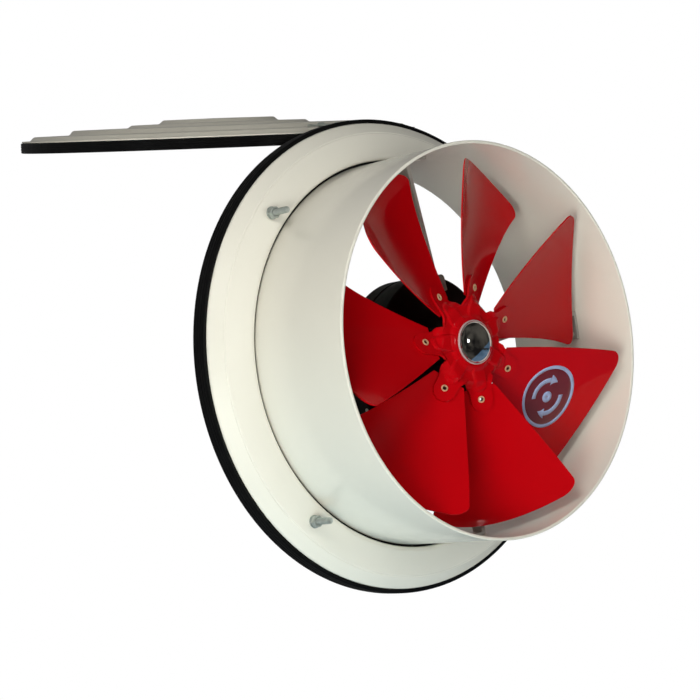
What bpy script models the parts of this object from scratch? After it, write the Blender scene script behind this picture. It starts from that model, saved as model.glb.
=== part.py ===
"""Wall exhaust fan with a round hinged shutter.

A round duct tube carries a dished wall flange with a rubber edge, a motor on
four flat arms and a seven blade impeller. A round pressed lid on a top hinge
closes the rear end. The fan axis is Y, with the open mouth towards -Y and +Z
up. Depths are counted back from the front rim of the tube. The world origin
lies on the fan axis in the plane of the front face of the flange's rubber.
"""

import math

import bpy
import bmesh
from mathutils import Matrix, Vector

# Driving dimensions
RIM_RADIUS = 0.180
SEAT_DEPTH = 0.1375
REAR_LENGTH = 0.0178
TUBE_DEPTH = SEAT_DEPTH + REAR_LENGTH
TUBE_WALL = 0.002
SHEET = 0.0015
BLADE_COUNT = 7
ARM_COUNT = 4
STUD_COUNT = 4
SHAFT_RADIUS = 0.006
MOTOR_RADIUS = 0.067
MOTOR_LENGTH = 0.051
OPEN_ANGLE = math.radians(98.8)

# Fits between pieces
CLEARANCE = 0.0003
OVERRUN = 0.003

# Facets around turned pieces
RING_STEPS = 48
BODY_STEPS = 30
HUB_STEPS = 24
SMALL_STEPS = 12
RIVET_STEPS = 8
HEX_STEPS = 6
TURN = 2.0 * math.pi
SHARP_ANGLE = math.radians(50.0)

# Tube and flange
RIM_BEAD = 0.0024
RIM_BEAD_RISE = 0.0010
TUBE_OUTER = RIM_RADIUS - RIM_BEAD_RISE
TUBE_INNER = TUBE_OUTER - TUBE_WALL
COLLAR_STAND_OFF = 0.003
COLLAR_RADIUS = TUBE_OUTER + COLLAR_STAND_OFF
COLLAR_LENGTH = 0.0165
CREST_RISE = 0.0200
FLANGE_CREST_DEPTH = SEAT_DEPTH - CREST_RISE
CREASE_SPREAD = 0.0281
CREASE_RISE = 0.0107
CREASE_RADIUS = RIM_RADIUS + CREASE_SPREAD
CREASE_DEPTH = SEAT_DEPTH - CREASE_RISE
FLANGE_BEND = 0.0020
SLOPE_START_RADIUS = COLLAR_RADIUS + FLANGE_BEND * 1.6
SKIRT_SPREAD = 0.0389
SKIRT_RADIUS = RIM_RADIUS + SKIRT_SPREAD
SKIRT_CORNER = 0.0019
SKIRT_LENGTH = 0.0121
SKIRT_END_DEPTH = SEAT_DEPTH + SKIRT_LENGTH
SEAL_WALL = 0.0041
SEAL_WEB = 0.0029

# Studs in the flange
STUD_RADIUS = 0.003
STUD_SPREAD = 0.0171
STUD_CIRCLE = RIM_RADIUS + STUD_SPREAD
STUD_LENGTH = 0.0233
WASHER_RADIUS = 0.0060
WASHER_THICKNESS = 0.0012
NUT_ACROSS_CORNERS = 0.0115
NUT_THICKNESS = 0.0048

# Impeller: the blade sheet is one curved surface about its rivet, in shares of the rim radius
TIP_GAP = 0.0098
TIP_RADIUS = TUBE_INNER - TIP_GAP
TIP_ROUNDNESS = 1.14
BLADE_SHEET = 0.0012
FIRST_BLADE_CLOCK = math.radians(-33.8)
BLADE_PITCH_SHARE = 0.452
BLADE_TWIST_SHARE = 0.179
BLADE_CAMBER_SHARE = 0.708
BLADE_RAKE_SHARE = 0.051
LEADING_EDGE_SHARES = (0.197, -0.583, 0.039)
TRAILING_EDGE_SHARES = (0.0515, 0.426, -0.014)
EDGE_REACH_SHARE = 0.955
RIVET_CIRCLE = 0.0523
ROOT_MARGIN = 0.0108
BLADE_ROOT = RIVET_CIRCLE - ROOT_MARGIN
BLADE_CORNER = 0.0125
SPIDER_SHEET = 0.0020
SPIDER_LEAD = 0.0022
SPIDER_DEPTH = 0.0335
BLADE_SETBACK = 0.0054
BLADE_DEPTH = SPIDER_DEPTH + BLADE_SETBACK
COLLAR_RISE = 0.0040
PANEL_RISE = 0.0018
VALLEY_RADIUS = 0.0346
ARM_END_MARGIN = 0.0129
ARM_TIP = RIVET_CIRCLE + ARM_END_MARGIN
SPIGOT_RADIUS = 0.0127
CAP_RADIUS = 0.0202

# Round label on a blade
LABEL_RADIUS = 0.0280
LABEL_REACH = 0.1130
LABEL_SHIFT = 0.0022
LABEL_FILM = 0.0002

# Motor arms
ARM_SHEET = 0.003
BLADE_CLEARANCE = 0.00374
MOTOR_SETBACK = 0.0135
ARM_DEPTH = 0.013
ARM_WALL_CLOCK = math.radians(-5.5)
FOOT_LENGTH = 0.026
EAR_WIDTH = 0.012
EAR_INSET = 0.0012
ARM_OFFSET = 0.0030
ARM_LAP = 0.017
ARM_INNER_RADIUS = MOTOR_RADIUS - ARM_LAP
SCREW_RADIUS = 0.0020

# Hinge and lid: heights are counted from the front edge of the lid's rubber
LID_GAP = 0.0189
LID_RADIUS = SKIRT_RADIUS - LID_GAP
LID_SHEET = 0.0012
LID_CROWN = 0.0004
LID_RUBBER = 0.0102
TONGUE_DROP = 0.0006
TONGUE_SHEET = 0.0020
LID_FRONT_DEPTH = TUBE_DEPTH + CLEARANCE - (LID_RUBBER - TONGUE_DROP)
HINGE_SETBACK = 0.0055
HINGE_DEPTH = LID_FRONT_DEPTH + HINGE_SETBACK
LID_BORDER = 0.0095
LID_FOLD = 0.0040
STEP_RISES = (0.0050, 0.0100, 0.0130, 0.0170)
STEP_RADIUS_SHARES = (0.755, 0.460, 0.300)
PIN_RADIUS = 0.0025
KNUCKLE_RADIUS = 0.0045
RIVET_SHANK = 0.0020
LEAF_SHEET = 0.0020
LEAF_LENGTH = 0.0480
LEAF_HALF = 0.018
BRACKET_HALF = 0.028
BRACKET_SHEET = 0.0020
PLATE_TOP = math.sqrt((SKIRT_RADIUS - SHEET / 2 - CLEARANCE) ** 2 - BRACKET_HALF ** 2) - CLEARANCE / 3
HINGE_HEIGHT = PLATE_TOP - BRACKET_SHEET - KNUCKLE_RADIUS


def clear_scene():
    for old in list(bpy.data.objects):
        bpy.data.objects.remove(old, do_unlink=True)


def make_collection(name, hidden=False):
    group = bpy.data.collections.new(name)
    bpy.context.scene.collection.children.link(group)
    group.hide_render = hidden
    return group


def make_material(name, colour, roughness, metallic=0.0, coat=0.0):
    mat = bpy.data.materials.new(name)
    mat.use_nodes = True
    shader = mat.node_tree.nodes["Principled BSDF"]
    shader.inputs["Base Color"].default_value = (*colour, 1.0)
    shader.inputs["Roughness"].default_value = roughness
    shader.inputs["Metallic"].default_value = metallic
    shader.inputs["Coat Weight"].default_value = coat
    return mat


def add_object(name, mesh, mat, group):
    obj = bpy.data.objects.new(name, mesh)
    group.objects.link(obj)
    if mat is not None:
        mesh.materials.append(mat)
    return obj


def mesh_from(name, verts, faces, edges=()):
    mesh = bpy.data.meshes.new(name)
    mesh.from_pydata(verts, list(edges), faces)
    mesh.update()
    return mesh


def height_of(depth):
    """Local height of a turned profile for a depth behind the front rim."""
    return SEAT_DEPTH - depth


def turned(name, profile, mat, group, steps, closed=True):
    """Turn (radius, depth) points about the fan axis; outer side runs front to rear."""
    verts = [(radius, 0.0, height_of(depth)) for radius, depth in profile]
    return turn_points(name, verts, mat, group, steps, closed, Matrix.Rotation(TURN / 4, 4, "X"))


def turn_points(name, verts, mat, group, steps, closed, placing):
    """Turn (radius, 0, height) points about Z; round faces are smooth, edges stay sharp."""
    edges = [(i, i + 1) for i in range(len(verts) - 1)]
    if closed:
        edges.append((len(verts) - 1, 0))
    obj = add_object(name, mesh_from(name, verts, [], edges), mat, group)
    obj.matrix_world = placing
    screw = obj.modifiers.new("turn", "SCREW")
    screw.axis = "Z"
    screw.angle = TURN
    screw.steps = steps
    screw.render_steps = steps
    screw.use_merge_vertices = True
    screw.merge_threshold = 0.00001
    screw.use_smooth_shade = True
    depsgraph = bpy.context.evaluated_depsgraph_get()
    mesh = bpy.data.meshes.new_from_object(obj.evaluated_get(depsgraph))
    mesh.set_sharp_from_angle(angle=SHARP_ANGLE)
    obj.modifiers.clear()
    obj.data = mesh
    return obj


def thicken(obj, thickness):
    shell = obj.modifiers.new("thickness", "SOLIDIFY")
    shell.thickness = thickness
    shell.offset = 0.0
    shell.use_even_offset = True


def prism(name, outline, low, high, placing, mat, group):
    """Extrude a flat outline (u, v) from low to high along w, then place it."""
    count = len(outline)
    verts = [(u, v, low) for u, v in outline] + [(u, v, high) for u, v in outline]
    faces = [tuple(reversed(range(count))), tuple(range(count, 2 * count))]
    for i in range(count):
        j = (i + 1) % count
        faces.append((i, j, count + j, count + i))
    mesh = mesh_from(name, verts, faces)
    tidy = bmesh.new()
    tidy.from_mesh(mesh)
    bmesh.ops.recalc_face_normals(tidy, faces=tidy.faces)
    tidy.to_mesh(mesh)
    tidy.free()
    mesh.transform(placing)
    return add_object(name, mesh, mat, group)


def rod(name, radius, start, end, cutters, steps=SMALL_STEPS):
    """A plain cylinder between two points."""
    axis = end - start
    mesh = bpy.data.meshes.new(name)
    work = bmesh.new()
    bmesh.ops.create_cone(work, cap_ends=True, segments=steps, radius1=radius, radius2=radius, depth=axis.length)
    work.to_mesh(mesh)
    work.free()
    turn = Vector((0.0, 0.0, 1.0)).rotation_difference(axis.normalized()).to_matrix().to_4x4()
    mesh.transform(Matrix.Translation((start + end) / 2) @ turn)
    return add_object(name, mesh, None, cutters)


def combine(obj, other, operation, label):
    mod = obj.modifiers.new(label, "BOOLEAN")
    mod.operation = operation
    mod.solver = "EXACT"
    mod.object = other
    if operation == "UNION":
        mod.material_mode = "TRANSFER"
    other.display_type = "WIRE"
    other.hide_render = True


def clock_point(radius, clock, depth):
    """World point at a clock angle from the top, seen from the mouth."""
    return Vector((radius * math.sin(clock), depth - SEAT_DEPTH, radius * math.cos(clock)))


def axis_frame(origin, along):
    """Placing whose Z runs along a direction, at a point."""
    turn = Vector((0.0, 0.0, 1.0)).rotation_difference(along.normalized()).to_matrix().to_4x4()
    return Matrix.Translation(origin) @ turn


# Tube, flange and rubber edge

def build_duct_tube(group, mat):
    lip = RIM_BEAD / 4
    neck = RIM_BEAD * 1.25
    profile = [
        (TUBE_INNER + lip, 0.0),
        (RIM_RADIUS - lip, 0.0),
        (RIM_RADIUS, lip),
        (RIM_RADIUS, RIM_BEAD),
        (TUBE_OUTER, neck),
        (TUBE_OUTER, TUBE_DEPTH),
        (TUBE_INNER, TUBE_DEPTH),
        (TUBE_INNER, lip),
    ]
    return turned("duct_tube", profile, mat, group, RING_STEPS)


def build_wall_flange(group, cutters, mat):
    weld_radius = TUBE_OUTER + CLEARANCE + SHEET / 2
    weld_length = 0.003
    neck_length = 0.0017
    collar_end = FLANGE_CREST_DEPTH + COLLAR_LENGTH
    crest_radius = COLLAR_RADIUS + FLANGE_BEND * 0.75
    profile = [
        (weld_radius, collar_end),
        (weld_radius, collar_end - weld_length),
        (COLLAR_RADIUS, collar_end - weld_length - neck_length),
        (COLLAR_RADIUS, FLANGE_CREST_DEPTH + FLANGE_BEND),
        (crest_radius, FLANGE_CREST_DEPTH + FLANGE_BEND * 0.1),
        (SLOPE_START_RADIUS, FLANGE_CREST_DEPTH + FLANGE_BEND * 0.15),
        (CREASE_RADIUS, CREASE_DEPTH),
        (SKIRT_RADIUS - SKIRT_CORNER, SEAT_DEPTH - SKIRT_CORNER),
        (SKIRT_RADIUS, SEAT_DEPTH + SKIRT_CORNER / 2),
        (SKIRT_RADIUS, SKIRT_END_DEPTH),
    ]
    flange = turned("wall_flange", profile, mat, group, RING_STEPS, closed=False)
    thicken(flange, SHEET)
    front = FLANGE_CREST_DEPTH - OVERRUN
    rear = SKIRT_END_DEPTH
    for index in range(STUD_COUNT):
        clock = stud_clock(index)
        hole = rod(
            f"stud_hole_{index + 1}", STUD_RADIUS + CLEARANCE,
            clock_point(STUD_CIRCLE, clock, front), clock_point(STUD_CIRCLE, clock, rear), cutters,
        )
        combine(flange, hole, "DIFFERENCE", f"hole_{index + 1}")
    return flange


def build_flange_seal(group, mat):
    inner = SKIRT_RADIUS + SHEET / 2 + CLEARANCE
    outer = inner + SEAL_WALL
    web_inner = SKIRT_RADIUS - SHEET / 2 + CLEARANCE / 3
    web_front = SKIRT_END_DEPTH + CLEARANCE
    web_rear = web_front + SEAL_WEB
    edge = 0.0008
    profile = [
        (inner, SEAT_DEPTH),
        (outer - edge, SEAT_DEPTH),
        (outer, SEAT_DEPTH + edge),
        (outer, web_rear - edge),
        (outer - edge, web_rear),
        (web_inner, web_rear),
        (web_inner, web_front),
        (inner, web_front),
    ]
    return turned("flange_seal", profile, mat, group, RING_STEPS)


# Studs, nuts and washers

def stud_clock(index):
    return TURN * (index + 0.5) / STUD_COUNT


def flange_slope():
    run = CREASE_RADIUS - SLOPE_START_RADIUS
    return (CREASE_DEPTH - FLANGE_CREST_DEPTH - FLANGE_BEND * 0.15) / run


def flange_face(radius):
    """Depth of the middle of the flange sheet on its sloping face."""
    return CREASE_DEPTH - (CREASE_RADIUS - radius) * flange_slope()


def washer_rear():
    skin = SHEET / 2 * math.sqrt(1 + flange_slope() ** 2)
    return flange_face(STUD_CIRCLE - WASHER_RADIUS) - skin - CLEARANCE


def stud_frame(index):
    """Stud axis in the turned frame: origin on the fan axis' depth scale."""
    clock = stud_clock(index)
    return Matrix.Translation(clock_point(STUD_CIRCLE, clock, SEAT_DEPTH)) @ Matrix.Rotation(TURN / 4, 4, "X")


def stud_profile(points):
    return [(radius, 0.0, height_of(depth)) for radius, depth in points]


def build_nut(name, radius, bore, low, high, placing, mat, group, cutters):
    """Hexagonal nut about the local Z of its placing, with a round bore."""
    corners = [TURN * step / HEX_STEPS for step in range(HEX_STEPS)]
    outline = [(radius * math.cos(angle), radius * math.sin(angle)) for angle in corners]
    nut = prism(name, outline, low, high, placing, mat, group)
    start = placing @ Vector((0.0, 0.0, low - OVERRUN))
    end = placing @ Vector((0.0, 0.0, high + OVERRUN))
    combine(nut, rod(f"{name}_bore", bore, start, end, cutters), "DIFFERENCE", "bore")


def build_studs(group, cutters, mats):
    head_radius = 0.0055
    head_length = 0.004
    tip = 0.0008
    skin = SHEET / 2 * math.sqrt(1 + flange_slope() ** 2)
    head_front = flange_face(STUD_CIRCLE + head_radius) + skin + CLEARANCE
    washer_back = washer_rear()
    washer_front = washer_back - WASHER_THICKNESS
    nut_back = washer_front - CLEARANCE
    nut_front = nut_back - NUT_THICKNESS
    stud_front = washer_back - STUD_LENGTH
    bore = STUD_RADIUS + CLEARANCE
    for index in range(STUD_COUNT):
        number = index + 1
        placing = stud_frame(index)
        shank = [
            (0.0, stud_front),
            (STUD_RADIUS - tip, stud_front),
            (STUD_RADIUS, stud_front + tip),
            (STUD_RADIUS, head_front),
            (head_radius, head_front),
            (head_radius, head_front + head_length),
            (0.0, head_front + head_length),
        ]
        turn_points(f"stud_{number}", stud_profile(shank), mats["zinc"], group, SMALL_STEPS, False, placing)
        ring = [
            (bore, washer_front),
            (WASHER_RADIUS, washer_front),
            (WASHER_RADIUS, washer_back),
            (bore, washer_back),
        ]
        turn_points(f"stud_washer_{number}", stud_profile(ring), mats["zinc"], group, SMALL_STEPS, True, placing)
        build_nut(
            f"stud_nut_{number}", NUT_ACROSS_CORNERS / 2, bore, height_of(nut_back), height_of(nut_front),
            placing, mats["zinc"], group, cutters,
        )


# Impeller

def blade_clock(index):
    return FIRST_BLADE_CLOCK + TURN * index / BLADE_COUNT


def blade_depth(across, out):
    """Depth of the middle of the blade sheet, across and out along its centre line."""
    t = across / RIM_RADIUS
    y = (out - RIVET_CIRCLE) / RIM_RADIUS
    pitch = BLADE_PITCH_SHARE + BLADE_TWIST_SHARE * y
    bend = pitch * t - BLADE_CAMBER_SHARE * t * t + BLADE_RAKE_SHARE * y
    return BLADE_DEPTH + RIM_RADIUS * bend


def edge_across(shares, out):
    y = out / RIM_RADIUS
    square, line, start = shares
    return RIM_RADIUS * (square * y * y + line * y + start)


def blade_point(clock, across, out, depth):
    x = out * math.sin(clock) + across * math.cos(clock)
    z = out * math.cos(clock) - across * math.sin(clock)
    return (x, depth - SEAT_DEPTH, z)


def blade_sheet(clock):
    """Grid of points over one blade, from root to tip and edge to edge."""
    columns = 7
    arc_shares = (1.0, 0.66, 0.33, 0.0)
    arc_angles = [TURN / 4 * share for share in arc_shares]
    length = TIP_RADIUS - BLADE_ROOT
    plain_shares = (0.0, 0.27, 0.54, 0.78)
    backs = [length - share * length for share in plain_shares]
    backs += [BLADE_CORNER * (1 - math.cos(angle)) for angle in arc_angles]
    rows = []
    for back in backs:
        share = 1 - back / length
        inset = 0.0
        if back < BLADE_CORNER:
            inset = BLADE_CORNER - math.sqrt(BLADE_CORNER ** 2 - (BLADE_CORNER - back) ** 2)
        row = []
        out = BLADE_ROOT + share * length
        low = edge_across(LEADING_EDGE_SHARES, out * EDGE_REACH_SHARE) + inset
        high = edge_across(TRAILING_EDGE_SHARES, out * EDGE_REACH_SHARE) - inset
        for column in range(columns):
            across = low + (high - low) * column / (columns - 1)
            tip = math.sqrt(TIP_RADIUS ** 2 - (across * TIP_ROUNDNESS) ** 2)
            point_out = BLADE_ROOT + share * (tip - BLADE_ROOT)
            row.append(blade_point(clock, across, point_out, blade_depth(across, point_out)))
        rows.append(row)
    return rows


def grid_mesh(name, rows):
    verts = [point for row in rows for point in row]
    width = len(rows[0])
    faces = []
    for i in range(len(rows) - 1):
        for j in range(width - 1):
            a = i * width + j
            faces.append((a, a + 1, a + width + 1, a + width))
    return mesh_from(name, verts, faces)


def rivet_frame(index):
    """Frame on a blade's rivet: Z towards the rear along the sheet's normal."""
    clock = blade_clock(index)
    out = RIVET_CIRCLE
    step = BLADE_SHEET
    here = Vector(blade_point(clock, 0.0, out, blade_depth(0.0, out)))
    side = Vector(blade_point(clock, step, out, blade_depth(step, out))) - here
    outward = Vector(blade_point(clock, 0.0, out + step, blade_depth(0.0, out + step))) - here
    normal = side.cross(outward)
    if normal.y < 0:
        normal.negate()
    return axis_frame(here, normal)


def build_blades(group, cutters, mat):
    hole_radius = 0.0023
    for index in range(BLADE_COUNT):
        mesh = grid_mesh(f"blade_{index + 1}", blade_sheet(blade_clock(index)))
        mesh.shade_smooth()
        blade = add_object(f"blade_{index + 1}", mesh, mat, group)
        thicken(blade, BLADE_SHEET)
        frame = rivet_frame(index)
        hole = rod(
            f"blade_hole_{index + 1}", hole_radius,
            frame @ Vector((0.0, 0.0, -SPIDER_SHEET - OVERRUN)), frame @ Vector((0.0, 0.0, OVERRUN)), cutters, RIVET_STEPS,
        )
        combine(blade, hole, "DIFFERENCE", "rivet_hole")


def smooth_step(value):
    value = min(1.0, max(0.0, value))
    return value * value * (3 - 2 * value)


def spider_rows():
    """Rows of one spider arm: radius or reach, half width, ring depth offset, panel rise share."""
    bore = SPIGOT_RADIUS + CLEARANCE
    cap_margin = 0.0013
    collar_slope = 0.0055
    collar_edge = CAP_RADIUS + cap_margin
    collar_foot = collar_edge + collar_slope
    half_sector = TURN / BLADE_COUNT / 2
    rings = [
        (bore, COLLAR_RISE, 0.0),
        (collar_edge, COLLAR_RISE, 0.0),
        (collar_foot, 0.0, 0.0),
        ((collar_foot + VALLEY_RADIUS) / 2, 0.0, 1.0),
        (VALLEY_RADIUS, 0.0, 1.0),
    ]
    reach = ARM_TIP - VALLEY_RADIUS
    valley_half = VALLEY_RADIUS * math.sin(half_sector)
    arm_rows = [
        (0.12, 0.83, 1.0),
        (0.21, 0.76, 0.95),
        (0.29, 0.72, 0.0),
        (0.42, 0.71, 0.0),
        (0.58, 0.72, 0.0),
        (0.74, 0.69, 0.0),
        (0.88, 0.54, 0.0),
        (0.96, 0.35, 0.0),
        (1.0, 0.18, 0.0),
    ]
    arms = [(VALLEY_RADIUS + reach * along, valley_half * half, rise) for along, half, rise in arm_rows]
    return rings, arms


def spider_point(index, across, out, rise):
    clock = blade_clock(index)
    radius = math.hypot(across, out)
    twist_length = 0.0064
    share = smooth_step((radius - VALLEY_RADIUS) / twist_length)
    flat = SPIDER_DEPTH
    pitched = blade_depth(across, out) - SPIDER_LEAD
    depth = flat + (pitched - flat) * share - rise
    return blade_point(clock, across, out, depth)


def build_spider(group, cutters, mat):
    rings, arms = spider_rows()
    columns = (-1.0, -0.56, -0.46, 0.46, 0.56, 1.0)
    inner_columns = (2, 3)
    sector = TURN / BLADE_COUNT
    verts = []
    faces = []
    ring_index = []
    for radius, collar, rise in rings:
        line = []
        for index in range(BLADE_COUNT):
            for column in range(len(columns) - 1):
                angle = columns[column] * sector / 2
                lift = collar + (PANEL_RISE * rise if column in inner_columns else 0.0)
                line.append(len(verts))
                verts.append(spider_point(index, radius * math.sin(angle), radius * math.cos(angle), lift))
        ring_index.append(line)
    around = len(ring_index[0])
    for low, high in zip(ring_index, ring_index[1:]):
        for j in range(around):
            k = (j + 1) % around
            faces.append((low[j], low[k], high[k], high[j]))
    for index in range(BLADE_COUNT):
        start = index * (len(columns) - 1)
        previous = [ring_index[-1][(start + j) % around] for j in range(len(columns))]
        for out, half, rise in arms:
            current = []
            for column, share in enumerate(columns):
                lift = PANEL_RISE * rise if column in inner_columns else 0.0
                current.append(len(verts))
                verts.append(spider_point(index, half * share, out, lift))
            for j in range(len(columns) - 1):
                faces.append((previous[j], previous[j + 1], current[j + 1], current[j]))
            previous = current
    mesh = mesh_from("hub_spider", verts, faces)
    mesh.shade_smooth()
    spider = add_object("hub_spider", mesh, mat, group)
    thicken(spider, SPIDER_SHEET)
    hole_radius = 0.0023
    for index in range(BLADE_COUNT):
        frame = rivet_frame(index)
        hole = rod(
            f"spider_hole_{index + 1}", hole_radius,
            frame @ Vector((0.0, 0.0, -SPIDER_SHEET - OVERRUN)), frame @ Vector((0.0, 0.0, OVERRUN)), cutters, RIVET_STEPS,
        )
        combine(spider, hole, "DIFFERENCE", f"rivet_hole_{index + 1}")
    return spider


def build_eyelets(group, mat):
    barrel = 0.0020
    hole = 0.0013
    head = 0.0031
    flare = 0.0007
    lead = SPIDER_LEAD * math.cos(math.atan(BLADE_PITCH_SHARE))
    front = -(lead + SPIDER_SHEET / 2 + CLEARANCE)
    rear = BLADE_SHEET / 2 + CLEARANCE
    points = [
        (hole, 0.0, front - flare),
        (head * 0.85, 0.0, front - flare),
        (head, 0.0, front - flare / 2),
        (head, 0.0, front),
        (barrel, 0.0, front),
        (barrel, 0.0, rear),
        (head, 0.0, rear),
        (head, 0.0, rear + flare),
        (hole, 0.0, rear + flare),
    ]
    for index in range(BLADE_COUNT):
        turn_points(f"eyelet_{index + 1}", list(reversed(points)), mat, group, RIVET_STEPS, True, rivet_frame(index))


def build_label(group, mat):
    """Thin round sheet stuck on the front of the fourth blade."""
    gap = BLADE_SHEET / 2 + CLEARANCE + LABEL_FILM / 2 + CLEARANCE
    around = 20
    shares = (0.5, 1.0)
    clock = blade_clock(3)

    def point(across, out):
        return blade_point(clock, across, out, blade_depth(across, out) - gap)

    verts = [point(LABEL_SHIFT, LABEL_REACH)]
    faces = []
    for share in shares:
        for j in range(around):
            angle = TURN * j / around
            across = LABEL_SHIFT + LABEL_RADIUS * share * math.cos(angle)
            verts.append(point(across, LABEL_REACH + LABEL_RADIUS * share * math.sin(angle)))
    for j in range(around):
        k = (j + 1) % around
        faces.append((0, 1 + j, 1 + k))
        for ring in range(len(shares) - 1):
            low = 1 + ring * around
            high = low + around
            faces.append((low + j, high + j, high + k, low + k))
    mesh = mesh_from("blade_label", verts, faces)
    mesh.shade_smooth()
    label = add_object("blade_label", mesh, mat, group)
    thicken(label, LABEL_FILM)
    return label


def build_hub(group, cutters, mats):
    """Sleeve, nut and domed cap on the shaft."""
    bore = SHAFT_RADIUS + CLEARANCE
    collar_back = SPIDER_DEPTH - COLLAR_RISE + SPIDER_SHEET / 2
    collar_front = collar_back - SPIDER_SHEET
    shoulder = collar_back + CLEARANCE
    shoulder_radius = 0.0190
    shoulder_length = 0.0070
    body_radius = 0.0140
    taper_length = 0.0020
    body_length = 0.0110
    body_front = shoulder + shoulder_length + taper_length
    sleeve_back = body_front + body_length
    sleeve = [
        (bore, collar_front),
        (SPIGOT_RADIUS, collar_front),
        (SPIGOT_RADIUS, shoulder),
        (shoulder_radius, shoulder),
        (shoulder_radius, shoulder + shoulder_length),
        (body_radius, body_front),
        (body_radius, sleeve_back),
        (bore, sleeve_back),
    ]
    turned("hub_sleeve", sleeve, mats["black"], group, HUB_STEPS)
    nut_back = collar_front - CLEARANCE
    nut_length = 0.0050
    nut_radius = 0.0098
    build_nut(
        "shaft_nut", nut_radius, bore, height_of(nut_back), height_of(nut_back - nut_length),
        Matrix.Rotation(TURN / 4, 4, "X"), mats["zinc"], group, cutters,
    )
    rim_back = collar_front - CLEARANCE
    rim_sheet = 0.0014
    rim_front = rim_back - rim_sheet
    dome_radius = CAP_RADIUS - rim_sheet
    dome_rise = 0.0075
    wall = 0.0009
    steps = 5
    outer = []
    inner = []
    for i in range(steps + 1):
        angle = TURN / 4 * i / steps
        outer.append((dome_radius * math.sin(angle), rim_front - dome_rise * math.cos(angle)))
        inner.append(((dome_radius - wall) * math.sin(angle), rim_front - (dome_rise - wall) * math.cos(angle)))
    profile = outer + [(CAP_RADIUS, rim_front + wall / 3), (CAP_RADIUS, rim_back), (dome_radius - wall, rim_back)]
    profile += list(reversed(inner))
    turned("hub_cap", profile, mats["chrome"], group, HUB_STEPS, closed=False)


# Motor

def arm_front_depth():
    """The arms pass just behind the rearmost edge of the blades."""
    rear = max(point[1] for row in blade_sheet(0.0) for point in row)
    return rear + SEAT_DEPTH + BLADE_CLEARANCE


def motor_front_depth():
    return arm_front_depth() + MOTOR_SETBACK


def motor_split():
    return motor_front_depth() + MOTOR_LENGTH / 2


def build_motor(group, cutters, mats):
    face = motor_front_depth()
    wall = 0.0035
    nose_radius = 0.0170
    nose_length = 0.0185
    nose_front = face - nose_length
    bearing_outer = 0.0110
    pocket = bearing_outer + CLEARANCE
    lip = 0.0028
    bearing_length = 0.0080
    front_edge = 0.0020
    shoulder = 0.0060
    split = motor_split()
    rear = face + MOTOR_LENGTH
    inner = MOTOR_RADIUS - wall
    bore = SHAFT_RADIUS + CLEARANCE
    front_profile = [
        (bore + lip / 2, nose_front),
        (nose_radius - lip / 3, nose_front),
        (nose_radius, nose_front + lip / 3),
        (nose_radius, face - lip / 2),
        (MOTOR_RADIUS - front_edge, face),
        (MOTOR_RADIUS - front_edge / 4, face + front_edge / 3),
        (MOTOR_RADIUS, face + front_edge),
        (MOTOR_RADIUS, split - CLEARANCE / 2),
        (inner, split - CLEARANCE / 2),
        (inner, face + wall),
        (pocket, face + wall),
        (pocket, nose_front + lip),
        (bore + lip / 2, nose_front + lip),
    ]
    front = turned("motor_front", front_profile, mats["black"], group, BODY_STEPS)
    boss = pocket + wall
    rear_profile = [
        (0.0, rear - wall),
        (pocket, rear - wall),
        (pocket, rear - wall - bearing_length),
        (boss, rear - wall - bearing_length),
        (boss, rear - wall),
        (inner, rear - wall),
        (inner, split + CLEARANCE / 2),
        (MOTOR_RADIUS, split + CLEARANCE / 2),
        (MOTOR_RADIUS, rear - shoulder),
        (MOTOR_RADIUS - shoulder / 3, rear - shoulder / 4),
        (MOTOR_RADIUS - shoulder, rear),
        (0.0, rear),
    ]
    turned("motor_rear", rear_profile, mats["black"], group, BODY_STEPS, closed=False)
    front_bearing = nose_front + lip + CLEARANCE
    rear_bearing = rear - wall - CLEARANCE - bearing_length
    for name, start in (("front_bearing", front_bearing), ("rear_bearing", rear_bearing)):
        ring = [
            (bore, start),
            (bearing_outer, start),
            (bearing_outer, start + bearing_length),
            (bore, start + bearing_length),
        ]
        turned(name, ring, mats["zinc"], group, HUB_STEPS)
    core_front = face + shoulder + wall
    core_rear = rear - wall - bearing_length - wall / 2
    rotor_radius = MOTOR_RADIUS * 0.57
    air_gap = 0.0006
    stator = [
        (rotor_radius + air_gap, core_front),
        (inner - CLEARANCE, core_front),
        (inner - CLEARANCE, core_rear),
        (rotor_radius + air_gap, core_rear),
    ]
    turned("stator_core", stator, mats["steel"], group, BODY_STEPS)
    rotor = [
        (bore, core_front),
        (rotor_radius, core_front),
        (rotor_radius, core_rear),
        (bore, core_rear),
    ]
    turned("rotor_core", rotor, mats["steel"], group, HUB_STEPS)
    thread_length = 0.0068
    shaft_front = SPIDER_DEPTH - COLLAR_RISE - SPIDER_SHEET / 2 - thread_length
    shaft_rear = rear - wall - CLEARANCE
    chamfer = SHAFT_RADIUS / 10
    shaft = [
        (0.0, shaft_front),
        (SHAFT_RADIUS - chamfer, shaft_front),
        (SHAFT_RADIUS, shaft_front + chamfer),
        (SHAFT_RADIUS, shaft_rear),
        (0.0, shaft_rear),
    ]
    turned("motor_shaft", shaft, mats["steel"], group, SMALL_STEPS, closed=False)
    add_ears(front, cutters)


def arm_line(index):
    """Outer and inner ends of an arm's middle line, in the plane seen from the mouth."""
    base = TURN * index / ARM_COUNT
    outer = Vector((math.sin(base + ARM_WALL_CLOCK), math.cos(base + ARM_WALL_CLOCK))) * (TUBE_INNER - ARM_SHEET)
    radial = Vector((math.sin(base), math.cos(base)))
    side = Vector((math.cos(base), -math.sin(base)))
    inner = radial * ARM_INNER_RADIUS + side * ARM_OFFSET
    along = (inner - outer).normalized()
    across = Vector((-along.y, along.x))
    return outer, inner, along, across


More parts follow.
